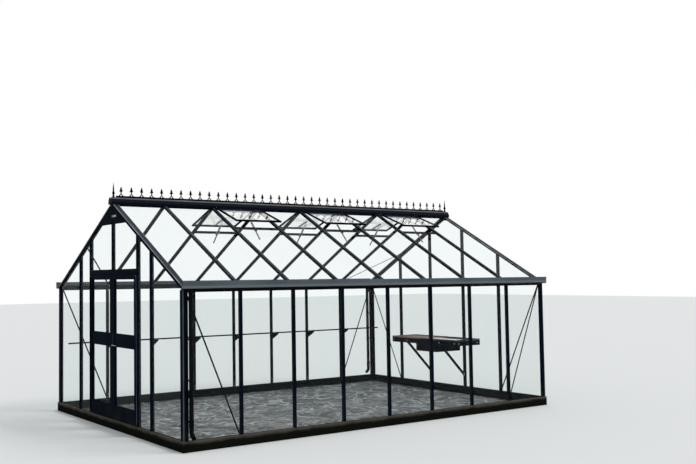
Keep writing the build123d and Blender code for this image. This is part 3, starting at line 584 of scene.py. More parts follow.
# Painted glint: the pale edges along the verges; the same pale finish is the worn metal of the apex
# tag.
glint_and_worn_finish, shader, place = finish("verge_glint_and_worn_tag", 0.4, gloss=0.3)
coated(
    shader,
    mottled(place, 5.0, 6.0, (0.14, 0.16, 0.18, 1), (0.42, 0.45, 0.47, 1), 0.35, 0.65),
    0.3 + cloudy(place, 40.0, 4.0) * 0.2,
)
gaps = bmesh.new()
strips = bmesh.new()
for end in (-1, 1):
    for side in (-1, 1):
        gap_x = sorted((end * (cover_end - verge_gap), end * (cover_end - verge_inner)))
        strip_x = sorted((end * (cover_end - verge_inner), end * (cover_end - verge_outer)))
        slope_slab(gaps, gap_x, lip_run, (-glass_down, verge_rubber_rise - glass_down), side)
        slope_slab(strips, strip_x, lip_run, (-glass_down, verge_strip_rise - glass_down), side)
        head, foot = [on_slope(end * cover_end, along, verge_rod_rise, side) for along in lip_run]
        rod(strips, head, foot, verge_rod_radius)
made_piece("verge_rubber", gaps, rubber)
made_piece("verge_glint_strips", strips, glint_and_worn_finish)

# Gable apex: a bare painted plate fills the top of the door gable under the rafters.
# It is pressed in one piece with a flange along its foot, and riveted to the beam near its top.
# A small blank tag of worn metal is fixed on its face.
rivet_spread, rivet_drop = 0.045, 0.012
rivet_radius, rivet_proud = 0.0035, 0.0015
flange_drop, flange_thick = 0.038, 0.006
flange_inset = 0.004
apex_edge = 0.0015
tag_from, tag_to = (-0.130, 2.682), (0.0, 2.707)
tag_proud = 0.0012
plate_finish, shader, place = finish("apex_plate_coat", 0.4, index=1.03)
coated(
    shader,
    mottled(place, 4.0, 5.0, (0.0016, 0.0032, 0.0060, 1), (0.0034, 0.0062, 0.0105, 1)),
    0.3 + cloudy(place, 30.0) * 0.2,
)
powder_grain(place, shader)
eased("apex_plates", apex_edge, plate_finish)
plate_low, plate_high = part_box("apex_plates")
form = bmesh.new()
rivet_z = plate_high.z - rivet_drop
for y in (-rivet_spread, 0.0, rivet_spread):
    head = (plate_low.x - rivet_proud, y, rivet_z)
    rod(form, (plate_low.x, y, rivet_z), head, rivet_radius, sides=10)
made_piece("apex_rivets", form, plate_finish)
flange_half = plate_high.y - flange_inset
low_half = flange_half + flange_drop / math.tan(pitch)
form = bmesh.new()
corners = []
for x in (plate_low.x, plate_low.x + flange_thick):
    for side in (-1, 1):
        corners.append(form.verts.new((x, side * flange_half, plate_low.z)))
        corners.append(form.verts.new((x, side * low_half, plate_low.z - flange_drop)))
bmesh.ops.convex_hull(form, input=corners)
made_piece("apex_flange", form, plate_finish)
form = bmesh.new()
slab(form, (plate_low.x - tag_proud, *tag_from), (plate_low.x, *tag_to))
made_piece("apex_blank_tag", form, glint_and_worn_finish)

# Gutters: satin extruded troughs along both eaves, with a raised rim along the outer edge.
# Sleeves cover the joints at every second bay, and an apron below each laps the eave beam.
shaded_under_band, foot_highlight_band, rim_band = (1.776, 1.781), (1.804, 1.812), (1.853, 1.857)
gutter_edge = 0.0012
sleeve_half = 0.03
sleeve_proud = 0.0012
sleeve_deep = 0.004
sleeve_up = 0.024
rim_rise, rim_thick = 0.014, 0.006
apron_drop, apron_thick = 0.026, 0.0025
gutter_paint_and_sheen, shader, place = finish("gutter_coat_with_painted_light", 0.35, gloss=0.03)
# Painted light: the grey face is partly a painted sky sheen, a paler band near the foot is a painted
# highlight, the black below the foot is painted shade on the underside, and the rim is paler.
band = reach(place, 2) + cloudy(place, 6.0) * 0.004
satin = mottled(place, 2.0, 6.0, (0.066, 0.084, 0.098, 1), (0.098, 0.120, 0.136, 1))
shine = between(band, *foot_highlight_band, (0.13, 0.15, 0.165, 1), satin)
edged = between(band, *rim_band, shine, (0.12, 0.14, 0.155, 1))
coated(
    shader,
    between(band, *shaded_under_band, (0.002, 0.003, 0.004, 1), edged),
    0.30 + cloudy(place, 12.0, 6.0) * 0.18,
)
relief(cloudy(place, 600.0, 2.0), 0.08, 0.0004, shader["Normal"])
for node in ("left_gutter", "right_gutter"):
    eased(node, gutter_edge, gutter_paint_and_sheen)
gutter_low, gutter_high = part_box("left_gutter")
form = bmesh.new()
for x in bar_lines[1::2]:
    for side in (-1, 1):
        sleeve_y = (side * (gutter_high.y + sleeve_proud), side * (gutter_high.y - sleeve_deep))
        low = (x - sleeve_half, min(sleeve_y), gutter_low.z + sleeve_up)
        slab(form, low, (x + sleeve_half, max(sleeve_y), gutter_high.z + sleeve_proud))
made_piece("gutter_sleeves", form, gutter_paint_and_sheen)
form = bmesh.new()
for side in (-1, 1):
    rim_y = sorted((side * gutter_high.y, side * (gutter_high.y - rim_thick)))
    high = (gutter_high.x, rim_y[1], gutter_high.z + rim_rise)
    slab(form, (gutter_low.x, rim_y[0], gutter_high.z), high)
    apron_y = sorted((side * half_width, side * (half_width + apron_thick)))
    low = (-cover_end, apron_y[0], gutter_low.z - apron_drop)
    slab(form, low, (cover_end, apron_y[1], gutter_low.z))
made_piece("gutter_rims_and_aprons", form, gutter_paint_and_sheen)

# Downpipes: glossy black plastic pipes at two opposite corners, each with a kicked-out shoe.
# They push up into an outlet under the gutter, and bands with a bolt hold them to the post.
pipe_inset = 0.082
pipe_radius = 0.025
pipe_clear = 0.003
pipe_wall = 0.0022
shoe_height = 0.200
shoe_length = 0.075
shoe_turn = math.radians(50)
shoe_bend = pipe_radius * 1.4
outlet_height, outlet_rise = 0.045, 0.004
socket_low, socket_high, socket_rise = 0.262, 0.312, 0.003
band_rise = 0.0028
band_height = 0.02
band_count = 4
band_first, band_last = 0.13, 0.092
tab_thick = 0.0027
tab_end = 0.034
tab_bolt = 0.045
pipe_finish, shader, place = finish("black_pipe", 0.3, index=1.06)
coated(
    shader,
    mottled(place, 8.0, 5.0, (0.003, 0.003, 0.003, 1), (0.008, 0.008, 0.008, 1), high=0.75),
    0.24 + cloudy(place, 16.0, 5.0) * 0.16,
)
relief(cloudy(place, 60.0, 3.0, stretch=(1, 1, 0.1)), 0.05, 0.001, shader["Normal"])
pipe_x = cover_end - pipe_inset
pipe_y = half_width + pipe_radius + pipe_clear
form = bmesh.new()
for end, side in ((1, 1), (-1, -1)):
    axis = Vector((end * pipe_x, side * pipe_y, 0))
    ring = bmesh.ops.create_circle(form, cap_ends=False, segments=32, radius=pipe_radius)["verts"]
    bmesh.ops.translate(form, verts=ring, vec=axis + Vector((0, 0, bars_high.z)))
    rim = list(dict.fromkeys(e for v in ring for e in v.link_edges))
    grown = bmesh.ops.extrude_edge_only(form, edges=rim)["geom"]
    points = [g for g in grown if isinstance(g, bmesh.types.BMVert)]
    bend_start = shoe_height + shoe_bend * math.tan(shoe_turn / 2)
    bmesh.ops.translate(form, verts=points, vec=(0, 0, bend_start - bars_high.z))
    rim = [g for g in grown if isinstance(g, bmesh.types.BMEdge)]
    centre = axis + Vector((0, side * shoe_bend, bend_start))
    turned = bmesh.ops.spin(
        form, geom=rim, cent=centre, axis=(side, 0, 0), angle=shoe_turn, steps=8, use_merge=False
    )["geom_last"]
    rim = [g for g in turned if isinstance(g, bmesh.types.BMEdge)]
    grown = bmesh.ops.extrude_edge_only(form, edges=rim)["geom"]
    points = [g for g in grown if isinstance(g, bmesh.types.BMVert)]
    run = shoe_length - shoe_bend * math.tan(shoe_turn / 2)
    away = Vector((0, side * math.sin(shoe_turn), -math.cos(shoe_turn)))
    bmesh.ops.translate(form, verts=points, vec=away * run)
bmesh.ops.remove_doubles(form, verts=form.verts, dist=0.0001)
bmesh.ops.recalc_face_normals(form, faces=form.faces)
downpipes = made_piece("pipes_with_shoes", form, pipe_finish, smooth=True)
wall = downpipes.modifiers.new("wall", "SOLIDIFY")
wall.thickness = pipe_wall
wall.offset = -1.0
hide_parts("downpipes")

form = bmesh.new()
heads = bmesh.new()
for end, side in ((1, 1), (-1, -1)):
    x, y = end * pipe_x, side * pipe_y
    top = (x, y, bars_high.z)
    rod(form, (x, y, bars_high.z - outlet_height), top, pipe_radius + outlet_rise, sides=32)
    rod(form, (x, y, socket_low), (x, y, socket_high), pipe_radius + socket_rise, sides=32)
    low_band, high_band = shoe_height + band_first, bars_high.z - band_last
    for number in range(band_count):
        z = low_band + (high_band - low_band) * number / (band_count - 1)
        foot, top = z - band_height / 2, z + band_height / 2
        rod(form, (x, y, foot), (x, y, top), pipe_radius + band_rise, 32)
        tab_x = sorted((x, end * (cad_box[1].x - tab_end)))
        tab_y = sorted((side * half_width, side * (half_width + tab_thick)))
        slab(form, (tab_x[0], tab_y[0], foot), (tab_x[1], tab_y[1], top))
        bolt(heads, (x + end * tab_bolt, side * (half_width + tab_thick), z), (0, side, 0))
made_piece("pipe_bands", form, pipe_finish, smooth=True)
made_piece("pipe_band_bolts", heads, pipe_finish)

# Ridge cap: a moulded hollow section over the ridge beam, in lengths of two bays.
# Thin joint covers hide the butts, and two raised lines run along each flank.
ridge_edge = 0.002
skirt_band = (2.918, 2.924)
crown_half, flank_half, flank_drop = 0.028, 0.052, 0.055
joint_half = 0.02
joint_from, joint_to = 0.05, 0.053
joint_low, joint_high = 0.083, 0.058
joint_thick = 0.0012
line_drops = (0.020, 0.038)
line_half = 0.002
cap_finish, shader, place = finish("ridge_cap_coat_lit_crown", 0.4, gloss=0.04)
# Painted light: the crown of the cap above the skirt is painted pale grey as lit from the sky, over the
# dark paint of the flanks.
lit_crown_sheen = mottled(place, 5.0, 6.0, (0.10, 0.105, 0.12, 1), (0.17, 0.175, 0.19, 1))
coated(
    shader,
    between(reach(place, 2) + cloudy(place, 30.0) * 0.003, *skirt_band, paint_dark, lit_crown_sheen),
    0.35 + cloudy(place, 24.0, 5.0) * 0.2,
)
powder_grain(place, shader)
eased("ridge_cap", ridge_edge, cap_finish)
ridge_low, ridge_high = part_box("ridge_cap")
form = bmesh.new()
for x in bar_lines[1::2]:
    low_x, high_x = x - joint_half, x + joint_half
    for side in (-1, 1):
        joint_y = sorted((side * joint_from, side * joint_to))
        low = (low_x, joint_y[0], ridge_high.z - joint_low)
        slab(form, low, (high_x, joint_y[1], ridge_high.z - joint_high))
    low = (low_x, -crown_half, ridge_high.z - line_half)
    slab(form, low, (high_x, crown_half, ridge_high.z + joint_thick))
for side in (-1, 1):
    for drop in line_drops:
        y = crown_half + (flank_half - crown_half) * drop / flank_drop
        line_y = sorted((side * (y - line_half), side * (y + joint_thick)))
        z = ridge_high.z - drop
        low = (ridge_low.x, line_y[0], z - line_half)
        slab(form, low, (ridge_high.x, line_y[1], z + line_half))
made_piece("ridge_mouldings", form, cap_finish)

# Cresting: a cast strip along the ridge with a lily spike at even steps, painted black.
# The casting is 5 mm thick with rounded edges, and a round hole is pierced under each spike.
crest_thick = 0.0052
crest_round = 0.0014
crest_count = 40
crest_slack = 0.0001
strip_height = 0.026
hole_radius = 0.0095
hole_rise = 0.0330
lily_side = (
    (0.0370, 0.0260, "VECTOR"),
    (0.0280, 0.0330, "AUTO"),
    (0.0170, 0.0440, "AUTO"),
    (0.0070, 0.0560, "VECTOR"),
    (0.0070, 0.0620, "VECTOR"),
    (0.0085, 0.0720, "AUTO"),
    (0.0145, 0.0815, "AUTO"),
    (0.0220, 0.0840, "AUTO"),
    (0.0250, 0.0900, "AUTO"),
    (0.0215, 0.0960, "AUTO"),
    (0.0135, 0.0985, "VECTOR"),
    (0.0150, 0.1090, "AUTO"),
    (0.0100, 0.1260, "AUTO"),
)
crest_low, crest_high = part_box("ridge_cresting")
crest_foot = crest_low.z
crest_tip = crest_high.z - crest_foot
crest_step = (crest_high.x - crest_low.x - crest_slack) / crest_count


def closed_line(curve, corners):
    """Adds a closed line to a flat curve through corners given as place and handle."""
    line = curve.splines.new("BEZIER")
    line.bezier_points.add(len(corners) - 1)
    for point, (x, z, handle) in zip(line.bezier_points, corners):
        point.co = (x, z, 0)
        point.handle_left_type = handle
        point.handle_right_type = handle
    line.use_cyclic_u = True


lily = bpy.data.curves.new("lily", "CURVE")
lily.dimensions = "2D"
lily.fill_mode = "BOTH"
lily.resolution_u = 3
lily.extrude = crest_thick / 2 - crest_round
lily.bevel_depth = crest_round
lily.bevel_resolution = 1
lily.offset = -crest_round
side_down = [(x, z, handle) for x, z, handle in reversed(lily_side)]
outline = [(-crest_step / 2, 0.0, "VECTOR"), (-crest_step / 2, strip_height, "VECTOR")]
outline += [(-x, z, handle) for x, z, handle in lily_side]
outline += [(0.0, crest_tip, "VECTOR")] + side_down
outline += [(crest_step / 2, strip_height, "VECTOR"), (crest_step / 2, 0.0, "VECTOR")]
closed_line(lily, outline)
quarters = [turn * math.pi / 2 for turn in range(4)]
hole = [
    (hole_radius * math.cos(turn), hole_rise + hole_radius * math.sin(turn), "AUTO")
    for turn in quarters
]
closed_line(lily, hole)
lily_object = bpy.data.objects.new("lily", lily)
bpy.context.scene.collection.objects.link(lily_object)
depsgraph = bpy.context.evaluated_depsgraph_get()
lily_mesh = bpy.data.meshes.new_from_object(lily_object.evaluated_get(depsgraph))
bpy.data.objects.remove(lily_object)
form = bmesh.new()
for number in range(crest_count):
    first = len(form.verts)
    form.from_mesh(lily_mesh)
    form.verts.ensure_lookup_table()
    points = form.verts[first:]
    x = crest_low.x + crest_step * (number + 0.5)
    place_here = Matrix.Translation((x, 0, crest_foot)) @ Matrix.Rotation(math.pi / 2, 4, "X")
    bmesh.ops.transform(form, matrix=place_here, verts=points)
bmesh.ops.remove_doubles(form, verts=form.verts, dist=0.00002)
cast_paint, shader, place = finish("cast_black_paint", 0.5, index=1.03)
coated(
    shader,
    mottled(place, 12.0, 5.0, (0.0015, 0.0015, 0.0015, 1), (0.004, 0.004, 0.004, 1), high=0.75),
    0.38 + cloudy(place, 50.0, 4.0) * 0.28,
)
relief(cloudy(place, 260.0, 4.0), 0.3, 0.0008, shader["Normal"])
cresting = made_piece("lily_cresting", form, cast_paint)
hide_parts("ridge_cresting")

# Finials: turned spikes with a collar and a ball, screwed into both ends of the ridge cap.
# They are the same black casting as the cresting and stand a little higher.
finial_foot = 0.024
finial_height = 0.196
finial_low, finial_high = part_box("ridge_finials")
finial_x = (finial_high.x - finial_low.x) / 2 - finial_foot
finial_side = (
    (0.0230, 0.000),
    (0.0230, 0.006),
    (0.0180, 0.011),
    (0.0124, 0.018),
    (0.0116, 0.040),
    (0.0140, 0.044),
    (0.0162, 0.050),
    (0.0169, 0.058),
    (0.0162, 0.066),
    (0.0140, 0.072),
    (0.0112, 0.077),
    (0.0104, 0.088),
    (0.0120, 0.092),
    (0.0102, 0.096),
    (0.0078, 0.130),
    (0.0010, 0.195),
)
form = bmesh.new()
for end in (-1, 1):
    foot = Vector((end * finial_x, 0, crest_foot))
    line = [form.verts.new(foot)]
    line += [form.verts.new(foot + Vector((radius, 0, rise))) for radius, rise in finial_side]
    line.append(form.verts.new(foot + Vector((0, 0, finial_height))))
    edges = [form.edges.new(pair) for pair in zip(line, line[1:])]
    bmesh.ops.spin(
        form,
        geom=line + edges,
        cent=foot,
        axis=(0, 0, 1),
        angle=math.tau,
        steps=20,
        use_merge=True,
    )
bmesh.ops.remove_doubles(form, verts=form.verts, dist=0.00002)
bmesh.ops.recalc_face_normals(form, faces=form.faces)
finials = made_piece("turned_finials", form, cast_paint, smooth=True)
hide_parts("ridge_finials")

# Roof vents: six propped frames hung on a bead beside the ridge cap, over a crossbar.
# A rubber strip under the lower rail meets the crossbar, and a screw pins each corner.
vent_open = math.radians(8.5)
vent_pitch = pitch - vent_open
vent_bays = (1, 3, 5)
vent_margin = 0.006
vent_rail = 0.025
vent_face = 0.014
seal_margin = 0.004
seal_along, seal_rise = (0.570, 0.586), (-0.010, -0.006)
screw_along = (0.0175, 0.5775)
screw_proud, screw_radius = 0.0022, 0.0045
bead_y, bead_rise = 0.0583, 0.007
bead_z = apex - bead_y * math.tan(pitch) + bead_rise / math.cos(pitch)
for node in ("vent_crossbars", "vent_frames"):
    eased(node, bar_edge, dark_paint)


def on_vent(x, along, rise, side=1):
    """A point of an open vent by its distance down from the bead and out of its plane."""
    y = bead_y + along * math.cos(vent_pitch) + rise * math.sin(vent_pitch)
    z = bead_z - along * math.sin(vent_pitch) + rise * math.cos(vent_pitch)
    return Vector((x, side * y, z))


form = bmesh.new()
heads = bmesh.new()
for number in vent_bays:
    low = bar_lines[number] + vent_margin
    high = bar_lines[number + 1] - vent_margin
    seal_x = (low + seal_margin, high - seal_margin)
    for side in (-1, 1):
        slope_slab(form, seal_x, seal_along, seal_rise, side, point=on_vent, tilt=vent_pitch)
        for x in (low + vent_rail / 2, high - vent_rail / 2):
            for along in screw_along:
                foot = on_vent(x, along, vent_face, side)
                outward = on_vent(x, along, vent_face + 1.0, side) - foot
                rod(heads, foot, foot + outward * screw_proud, screw_radius, sides=12)
made_piece("vent_seals", form, rubber)
made_piece("vent_screws", heads, bare_metal)

# Vent openers: a wax cylinder in a grey tube that pushes two arms up as it warms.
# The tube hangs from a bracket on the crossbar, and a spring each side pulls the vent shut.
knuckle_along, knuckle_rise = 0.370, 0.035
tail_along, tail_rise = 0.770, -0.110
tube_radius = 0.0092
tube_share = 0.28
collar_rise, tail_cap_rise = 0.0015, 0.0012
piston_radius = 0.0035
knuckle_half, knuckle_radius = 0.014, 0.004
arm_from, arm_to = 0.0095, 0.0122
arm_along, arm_rise = (0.300, 0.563), (-0.012, 0.0)
spring_out, spring_radius = 0.017, 0.0034
spring_turns = 16
turn_share = 0.55
bracket_half = 0.017
bracket_along, bracket_rise = (0.608, 0.636), (-0.060, -0.039)
opener_metal, shader, place = finish("opener_metal", 0.4, metallic=0.8)
coated(
    shader,
    mottled(place, 25.0, 4.0, (0.12, 0.125, 0.13, 1), (0.26, 0.27, 0.28, 1)),
    0.3 + cloudy(place, 60.0) * 0.25,
)
form = bmesh.new()
springs = bmesh.new()
for number in vent_bays:
    x = (bar_lines[number] + bar_lines[number + 1]) / 2
    for side in (-1, 1):
        knuckle = on_slope(x, knuckle_along, knuckle_rise, side)
        tail = on_slope(x, tail_along, tail_rise, side)
        run = tail - knuckle
        collar = (knuckle + run * (tube_share - 0.01), knuckle + run * (tube_share + 0.03))
        pin = Vector((knuckle_half, 0, 0))
        rod(form, knuckle + run * tube_share, tail, tube_radius, sides=20)
        rod(form, knuckle + run * 0.02, knuckle + run * tube_share, piston_radius, sides=12)
        rod(form, *collar, tube_radius + collar_rise, sides=20)
        rod(form, tail - run * 0.03, tail, tube_radius + tail_cap_rise, sides=20)
        rod(form, knuckle - pin, knuckle + pin, knuckle_radius, sides=12)
        for edge in (-1, 1):
            arm_x = sorted((x + edge * arm_from, x + edge * arm_to))
            slope_slab(form, arm_x, arm_along, arm_rise, side, point=on_vent, tilt=vent_pitch)
            pull = Vector((edge * spring_out, 0, 0))
            start, end = knuckle + run * 0.06 + pull, knuckle + run * 0.62 + pull
            for turn in range(spring_turns):
                here = start + (end - start) * turn / spring_turns
                there = start + (end - start) * (turn + turn_share) / spring_turns
                rod(springs, here, there, spring_radius, sides=8)
        bracket_x = (x - bracket_half, x + bracket_half)
        slope_slab(form, bracket_x, bracket_along, bracket_rise, side)
        head = on_slope(x, sum(bracket_along) / 2, bracket_rise[0], side)
        bolt(form, head, on_slope(0, 0, -1, side) - on_slope(0, 0, 0, side))
openers = made_piece("wax_openers", form, opener_metal, smooth=True)
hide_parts("vent_openers")
made_piece("opener_springs", springs, bare_metal, smooth=True)

# Braces: flat painted strips across the end bays of the walls and slopes, let in between the
# bars. They are cut from sheet and stand a little inside the glass.
brace_edge = 0.0006
eased("braces", brace_edge, dark_paint)

# Side rail: a painted tube along the left wall, lying on a three-cornered bracket at each bar.
# A strap with a bolt holds it down on each bracket, and black plugs close both ends.
rail_radius = 0.011
strap_half = 0.009
strap_rise = 0.0015
strap_reach = 0.032
strap_bolt = 0.023
strap_foot, strap_top = 0.014, 0.0112
bracket_bolts_down = (0.030, 0.095)
bracket_bolt_in = 0.012
bracket_face = 0.003
plug_length, plug_radius = 0.003, 0.0105
rail_low, rail_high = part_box("wall_rail")
rail_z = rail_high.z - rail_radius
rail_y = rail_low.y + rail_radius
dressed("wall_rail", dark_paint)
form = bmesh.new()
heads = bmesh.new()
for x in bar_lines:
    low_x, high_x = x - strap_half, x + strap_half
    ends = ((low_x, rail_y, rail_z), (high_x, rail_y, rail_z))
    rod(form, *ends, rail_radius + strap_rise, sides=20)
    strap_y = (rail_y, rail_y + strap_reach)
    slab(form, (low_x, strap_y[0], rail_z - strap_foot), (high_x, strap_y[1], rail_z - strap_top))
    bolt(heads, (x, rail_y + strap_bolt, rail_z - strap_top), (0, 0, 1))
    for drop in bracket_bolts_down:
        bolt(heads, (x + bracket_face, bar_face - bracket_bolt_in, rail_z - drop), (1, 0, 0))
for end in (-1, 1):
    outer = (end * (rail_high.x + plug_length), rail_y, rail_z)
    rod(form, (end * rail_high.x, rail_y, rail_z), outer, plug_radius)
made_piece("rail_straps", form, rubber, smooth=True)
made_piece("rail_bolts", heads, bare_metal)

# Bench: a folded frame across the back gable on two sloping struts, with a shallow tray on it.
# The tray is glossy black plastic with a low rim, dusty with soil along one side.
strut_y, strut_half = 0.369, 0.014
strut_bolt_in = 0.009
strut_bolts_up = (0.305, 0.329)
front_bolts = (-0.69, -strut_y, strut_y, 0.69)
bench_bolt_down = 0.0375
bench_bolt_in = 0.06
bench_end = 0.725
bench_edge, tray_edge = 0.002, 0.0012
dry_soil = (0.60, 0.95)
eased("bench_frame", bench_edge, dark_paint)
tray_finish, shader, place = finish("tray_plastic", 0.12, coat=0.3)
soil = reach(place, 1) * 1.6 + cloudy(place, 3.2, 7.0) + cloudy(place, 40.0, 4.0) * 0.3
for clean, soiled, target in (
    ((0.006, 0.014, 0.012, 1), (0.23, 0.155, 0.12, 1), "Base Color"),
    ((0.07, 0.07, 0.07, 1), (0.85, 0.85, 0.85, 1), "Roughness"),
    ((0.3, 0.3, 0.3, 1), (0.0, 0.0, 0.0, 1), "Coat Weight"),
):
    feed(between(soil, *dry_soil, clean, soiled), shader[target])
relief(cloudy(place, 300.0, 4.0), 0.08, 0.0006, shader["Normal"])
eased("bench_top", tray_edge, tray_finish)
bench_low, bench_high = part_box("bench_frame")
form = bmesh.new()
for y in (-strut_y, strut_y):
    for z in strut_bolts_up:
        for face in (1, -1):
            bolt(form, (bench_high.x - strut_bolt_in, y + face * strut_half, z), (0, face, 0))
bolt_z = bench_high.z - bench_bolt_down
for y in front_bolts:
    bolt(form, (bench_low.x, y, bolt_z), (-1, 0, 0))
for x in (bench_low.x + bench_bolt_in, bench_high.x - bench_bolt_in):
    for face in (-1, 1):
        bolt(form, (x, face * bench_end, bolt_z), (0, face, 0))
made_piece("bench_bolts", form, bare_metal)

# Doorway: two jambs up to the rafters with a deep head between them, all in the dark paint.
# The long bead hinges are pinned, with a small cap on each pin. A satin bead is pressed on the
# right jamb beside its hinge, its pale colour a painted highlight, and stops run round the inside
# of the opening.
pin_out, pin_y = 0.008, 0.7155
pin_cap, pin_radius = 0.004, 0.0055
jamb_bead_out, jamb_bead_side, jamb_bead_radius = 0.003, 0.0125, 0.0048
jamb_face = 0.718
head_under = 1.955
stop_lap = 0.018
stop_clear = 0.001
door_edge = 0.002
eased("door_surround", door_edge, dark_paint)
for node in ("jamb_hinges", "left_door_hinges", "right_door_hinges"):
    dressed(node, dark_paint)
surround_low, surround_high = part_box("door_surround")
door_face = surround_low.x
pin_x = door_face - pin_out
hinge_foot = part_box("left_door_hinges")[0].z
hinge_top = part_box("jamb_hinges")[1].z
form = bmesh.new()
for side in (-1, 1):
    y = side * pin_y
    rod(form, (pin_x, y, hinge_top), (pin_x, y, hinge_top + pin_cap), pin_radius)
made_piece("hinge_pins", form, bare_metal, smooth=True)
# Painted highlight: the pale bead beside the right hinge.
form = bmesh.new()
x, y = door_face - jamb_bead_out, -pin_y - jamb_bead_side
rod(form, (x, y, hinge_foot), (x, y, hinge_top), jamb_bead_radius, sides=12)
made_piece("hinge_bead_painted_highlight", form, bead_painted_highlight, smooth=True)
stop_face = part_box("left_door_frame")[1].x + stop_clear
stop_in = jamb_face - stop_lap
form = bmesh.new()
for side in (-1, 1):
    stop_y = sorted((side * stop_in, side * jamb_face))
    slab(form, (stop_face, stop_y[0], plinth_top), (surround_high.x, stop_y[1], head_under))
for foot, top in ((plinth_top, plinth_top + stop_lap), (head_under - stop_lap, head_under)):
    slab(form, (stop_face, -stop_in, foot), (surround_high.x, stop_in, top))
made_piece("door_stops", form, dark_paint)

# Door leaves: two stiles and three rails to each, with a pane above and below the middle rail.
# Glazing beads hold the panes, a pressed line runs round the deep rails, and brushes close the gap.
level_bead, upright_bead = 0.006, 0.032
pane_bead_proud = 0.004
middle_low, middle_high = 1.040, 1.200
foot_rail = 0.175
line_inset, line_width, line_proud = 0.018, 0.004, 0.0012
brush_proud = 0.0021
side_brush, foot_brush = (0.008, 0.014), (0.013, 0.019)
foot_brush_drop = 0.003
for side, name in ((1, "left_door"), (-1, "right_door")):
    eased(name + "_frame", door_edge, dark_paint, body=name)
    pane_low, pane_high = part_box(name + "_glass")
    leaf_low, leaf_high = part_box(name + "_frame")
    form = bmesh.new()
    bead_faces = (
        (pane_low.x - pane_bead_proud, pane_low.x),
        (pane_high.x, pane_high.x + pane_bead_proud),
    )
    for foot, top in ((pane_low.z, middle_low), (middle_high, pane_high.z)):
        for x_out, x_in in bead_faces:
            slab(form, (x_out, pane_low.y, foot), (x_in, pane_high.y, foot + level_bead))
            slab(form, (x_out, pane_low.y, top - level_bead), (x_in, pane_high.y, top))
            slab(form, (x_out, pane_low.y, foot), (x_in, pane_low.y + upright_bead, top))
            slab(form, (x_out, pane_high.y - upright_bead, foot), (x_in, pane_high.y, top))
    made_piece(name + "_pane_beads", form, dark_paint, body=name)
    form = bmesh.new()
    line_faces = ((leaf_low.x - line_proud, leaf_low.x), (leaf_high.x, leaf_high.x + line_proud))
    y_low, y_high = pane_low.y + line_inset, pane_high.y - line_inset
    for foot, top in ((leaf_low.z, leaf_low.z + foot_rail), (middle_low, middle_high)):
        z_low, z_high = foot + line_inset, top - line_inset
        z_in, z_out = z_low + line_width, z_high - line_width
        for x_out, x_in in line_faces:
            slab(form, (x_out, y_low, z_low), (x_in, y_high, z_in))
            slab(form, (x_out, y_low, z_out), (x_in, y_high, z_high))
            slab(form, (x_out, y_low, z_in), (x_in, y_low + line_width, z_out))
            slab(form, (x_out, y_high - line_width, z_in), (x_in, y_high, z_out))
    made_piece(name + "_pressed_lines", form, dark_paint, body=name)
    form = bmesh.new()
    edge_y = leaf_low.y if side == 1 else leaf_high.y
    brush_y = sorted((edge_y, edge_y - side * brush_proud))
    low_x, high_x = [leaf_low.x + step for step in side_brush]
    slab(form, (low_x, brush_y[0], leaf_low.z), (high_x, brush_y[1], leaf_high.z))
    low_x, high_x = [leaf_low.x + step for step in foot_brush]
    slab(form, (low_x, leaf_low.y, leaf_low.z - foot_brush_drop), (high_x, leaf_high.y, leaf_low.z))
    made_piece(name + "_brushes", form, rubber, body=name)

# Door handle: a satin lever at the foot of a long black rose with a key cylinder above it.
# It is bolted through the right leaf, and the lever returns towards the door at its end.
stile_y = -0.0335
rose_half = 0.017
rose_thick = 0.005
rose_edge = 0.0015
key_down, key_proud, key_radius = 0.035, 0.008, 0.0095
lever_up = 0.0082
lever_in = 0.0062
neck_in, neck_radius = 0.004, 0.008
lever_start, lever_end = 0.006, 0.006
lever_radius, lever_tip_radius = 0.006, 0.005
return_gap = 0.007
handle_black, shader, place = finish("handle_black", 0.3, index=1.05)
coated(
    shader,
    mottled(place, 30.0, 4.0, (0.006, 0.006, 0.006, 1), (0.016, 0.016, 0.016, 1)),
    0.22 + cloudy(place, 80.0) * 0.2,
)
rose_low, rose_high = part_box("door_handle")
low = (door_face - rose_thick, stile_y - rose_half, rose_low.z)
form = bmesh.new()
slab(form, low, (door_face, stile_y + rose_half, rose_high.z))
bmesh.ops.bevel(
    form, geom=form.edges[:], offset=rose_edge, affect="EDGES", segments=2, profile=0.5, material=-1
)
key_z = rose_high.z - key_down
key_end = (door_face - key_proud, stile_y, key_z)
rod(form, (door_face, stile_y, key_z), key_end, key_radius, sides=24)
rose = made_piece("handle_rose", form, handle_black, body="right_door", smooth=True)
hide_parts("door_handle")
lever_metal, shader, place = finish("satin_lever", 0.35, gloss=0.4)
coated(
    shader,
    mottled(place, 60.0, 4.0, (0.20, 0.215, 0.23, 1), (0.38, 0.40, 0.42, 1)),
    0.28 + cloudy(place, 90.0) * 0.2,
)
lever_x, lever_z = rose_low.x + lever_in, rose_low.z + lever_up
neck = (door_face - neck_in, stile_y, lever_z)
tip = (lever_x, rose_low.y + lever_end, lever_z)
form = bmesh.new()
rod(form, neck, (lever_x, stile_y, lever_z), neck_radius, sides=20)
start = (lever_x, stile_y + lever_start, lever_z)
rod(form, start, tip, lever_radius, sides=20, end_radius=lever_tip_radius)
rod(form, tip, (door_face - return_gap, *tip[1:]), lever_tip_radius)
made_piece("handle_lever", form, lever_metal, body="right_door", smooth=True)

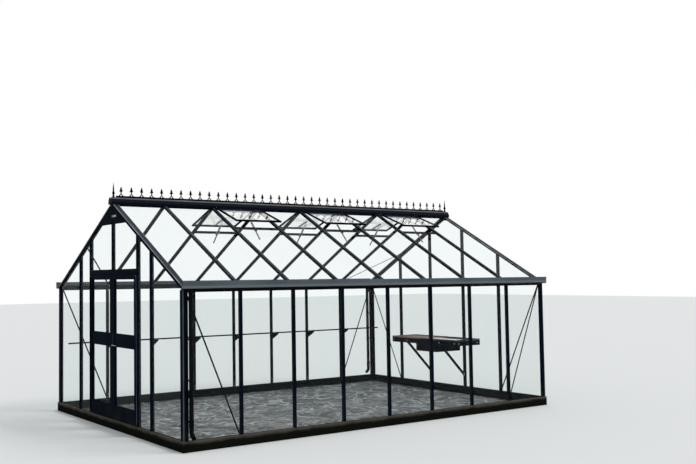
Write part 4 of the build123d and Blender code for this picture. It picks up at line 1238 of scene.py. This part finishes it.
# Stage: a plain pale floor out to the horizon under a white sky, with one soft lamp.
# The sky is white to the camera, to gloss and through glass, and dimmer as a light.
bpy.context.scene.view_settings.view_transform = "Standard"
floor_half = 60.0
floor_drop = 0.001
form = bmesh.new()
bmesh.ops.create_grid(form, x_segments=1, y_segments=1, size=floor_half)
bmesh.ops.translate(form, verts=form.verts, vec=(0, 0, -floor_drop))
floor_mesh = bpy.data.meshes.new("floor")
form.to_mesh(floor_mesh)
form.free()
floor_finish, shader, place = finish("pale_floor", 0.8)
shader["Base Color"].default_value = (0.80, 0.80, 0.79, 1)
floor_mesh.materials.append(floor_finish)
floor = bpy.data.objects.new("floor", floor_mesh)
bpy.context.scene.collection.objects.link(floor)

sky_light = 0.62
world = bpy.data.worlds.new("soft_sky")
bpy.context.scene.world = world
world.use_nodes = True
world.node_tree.nodes.clear()
rays = world.node_tree.nodes.new("ShaderNodeLightPath").outputs
camera_ray, glossy_ray = Wire(rays["Is Camera Ray"]), Wire(rays["Is Glossy Ray"])
seen = camera_ray + Wire(rays["Is Transmission Ray"]) + glossy_ray
lit = seen.node("ShaderNodeBackground", {}, {"Color": (0.93, 0.97, 1.0, 1), "Strength": sky_light})
white = seen.node("ShaderNodeBackground", {}, {"Color": (1, 1, 1, 1), "Strength": 1.0})
sky = seen.node("ShaderNodeMixShader", {}, {0: seen > 0.5, 1: lit, 2: white})
feed(sky, world.node_tree.nodes.new("ShaderNodeOutputWorld").inputs["Surface"])

lamp = bpy.data.lights.new("soft_lamp", "SUN")
lamp.energy = 1.35
lamp.angle = math.radians(25)
lamp_object = bpy.data.objects.new("soft_lamp", lamp)
lamp_object.rotation_euler = (math.radians(38), math.radians(12), math.radians(35))
bpy.context.scene.collection.objects.link(lamp_object)

# Camera: at eye height, well off the near corner of the door gable.
# Its place and directions were solved from the bars, corners and ridge of the greenhouse.
camera_right = Vector((0.8372, -0.5467, -0.0113))
camera_forward = Vector((0.5465, 0.8358, 0.0528))
camera_place = Vector((-7.459, -10.408, 1.881))
photo_width = 696
focal_pixels = 873.7
middle_pixel = 262.8
camera = bpy.data.cameras.new("camera")
camera.sensor_width = 36.0
camera.lens = camera.sensor_width * focal_pixels / photo_width
camera.shift_x = (photo_width / 2 - middle_pixel) / photo_width
camera_back = -camera_forward.normalized()
camera_up = camera_back.cross(camera_right).normalized()
camera_side = camera_up.cross(camera_back)
turn = Matrix((camera_side, camera_up, camera_back)).transposed().to_4x4()
camera_object = bpy.data.objects.new("camera", camera)
camera_object.matrix_world = Matrix.Translation(camera_place) @ turn
bpy.context.scene.collection.objects.link(camera_object)
bpy.context.scene.camera = camera_object
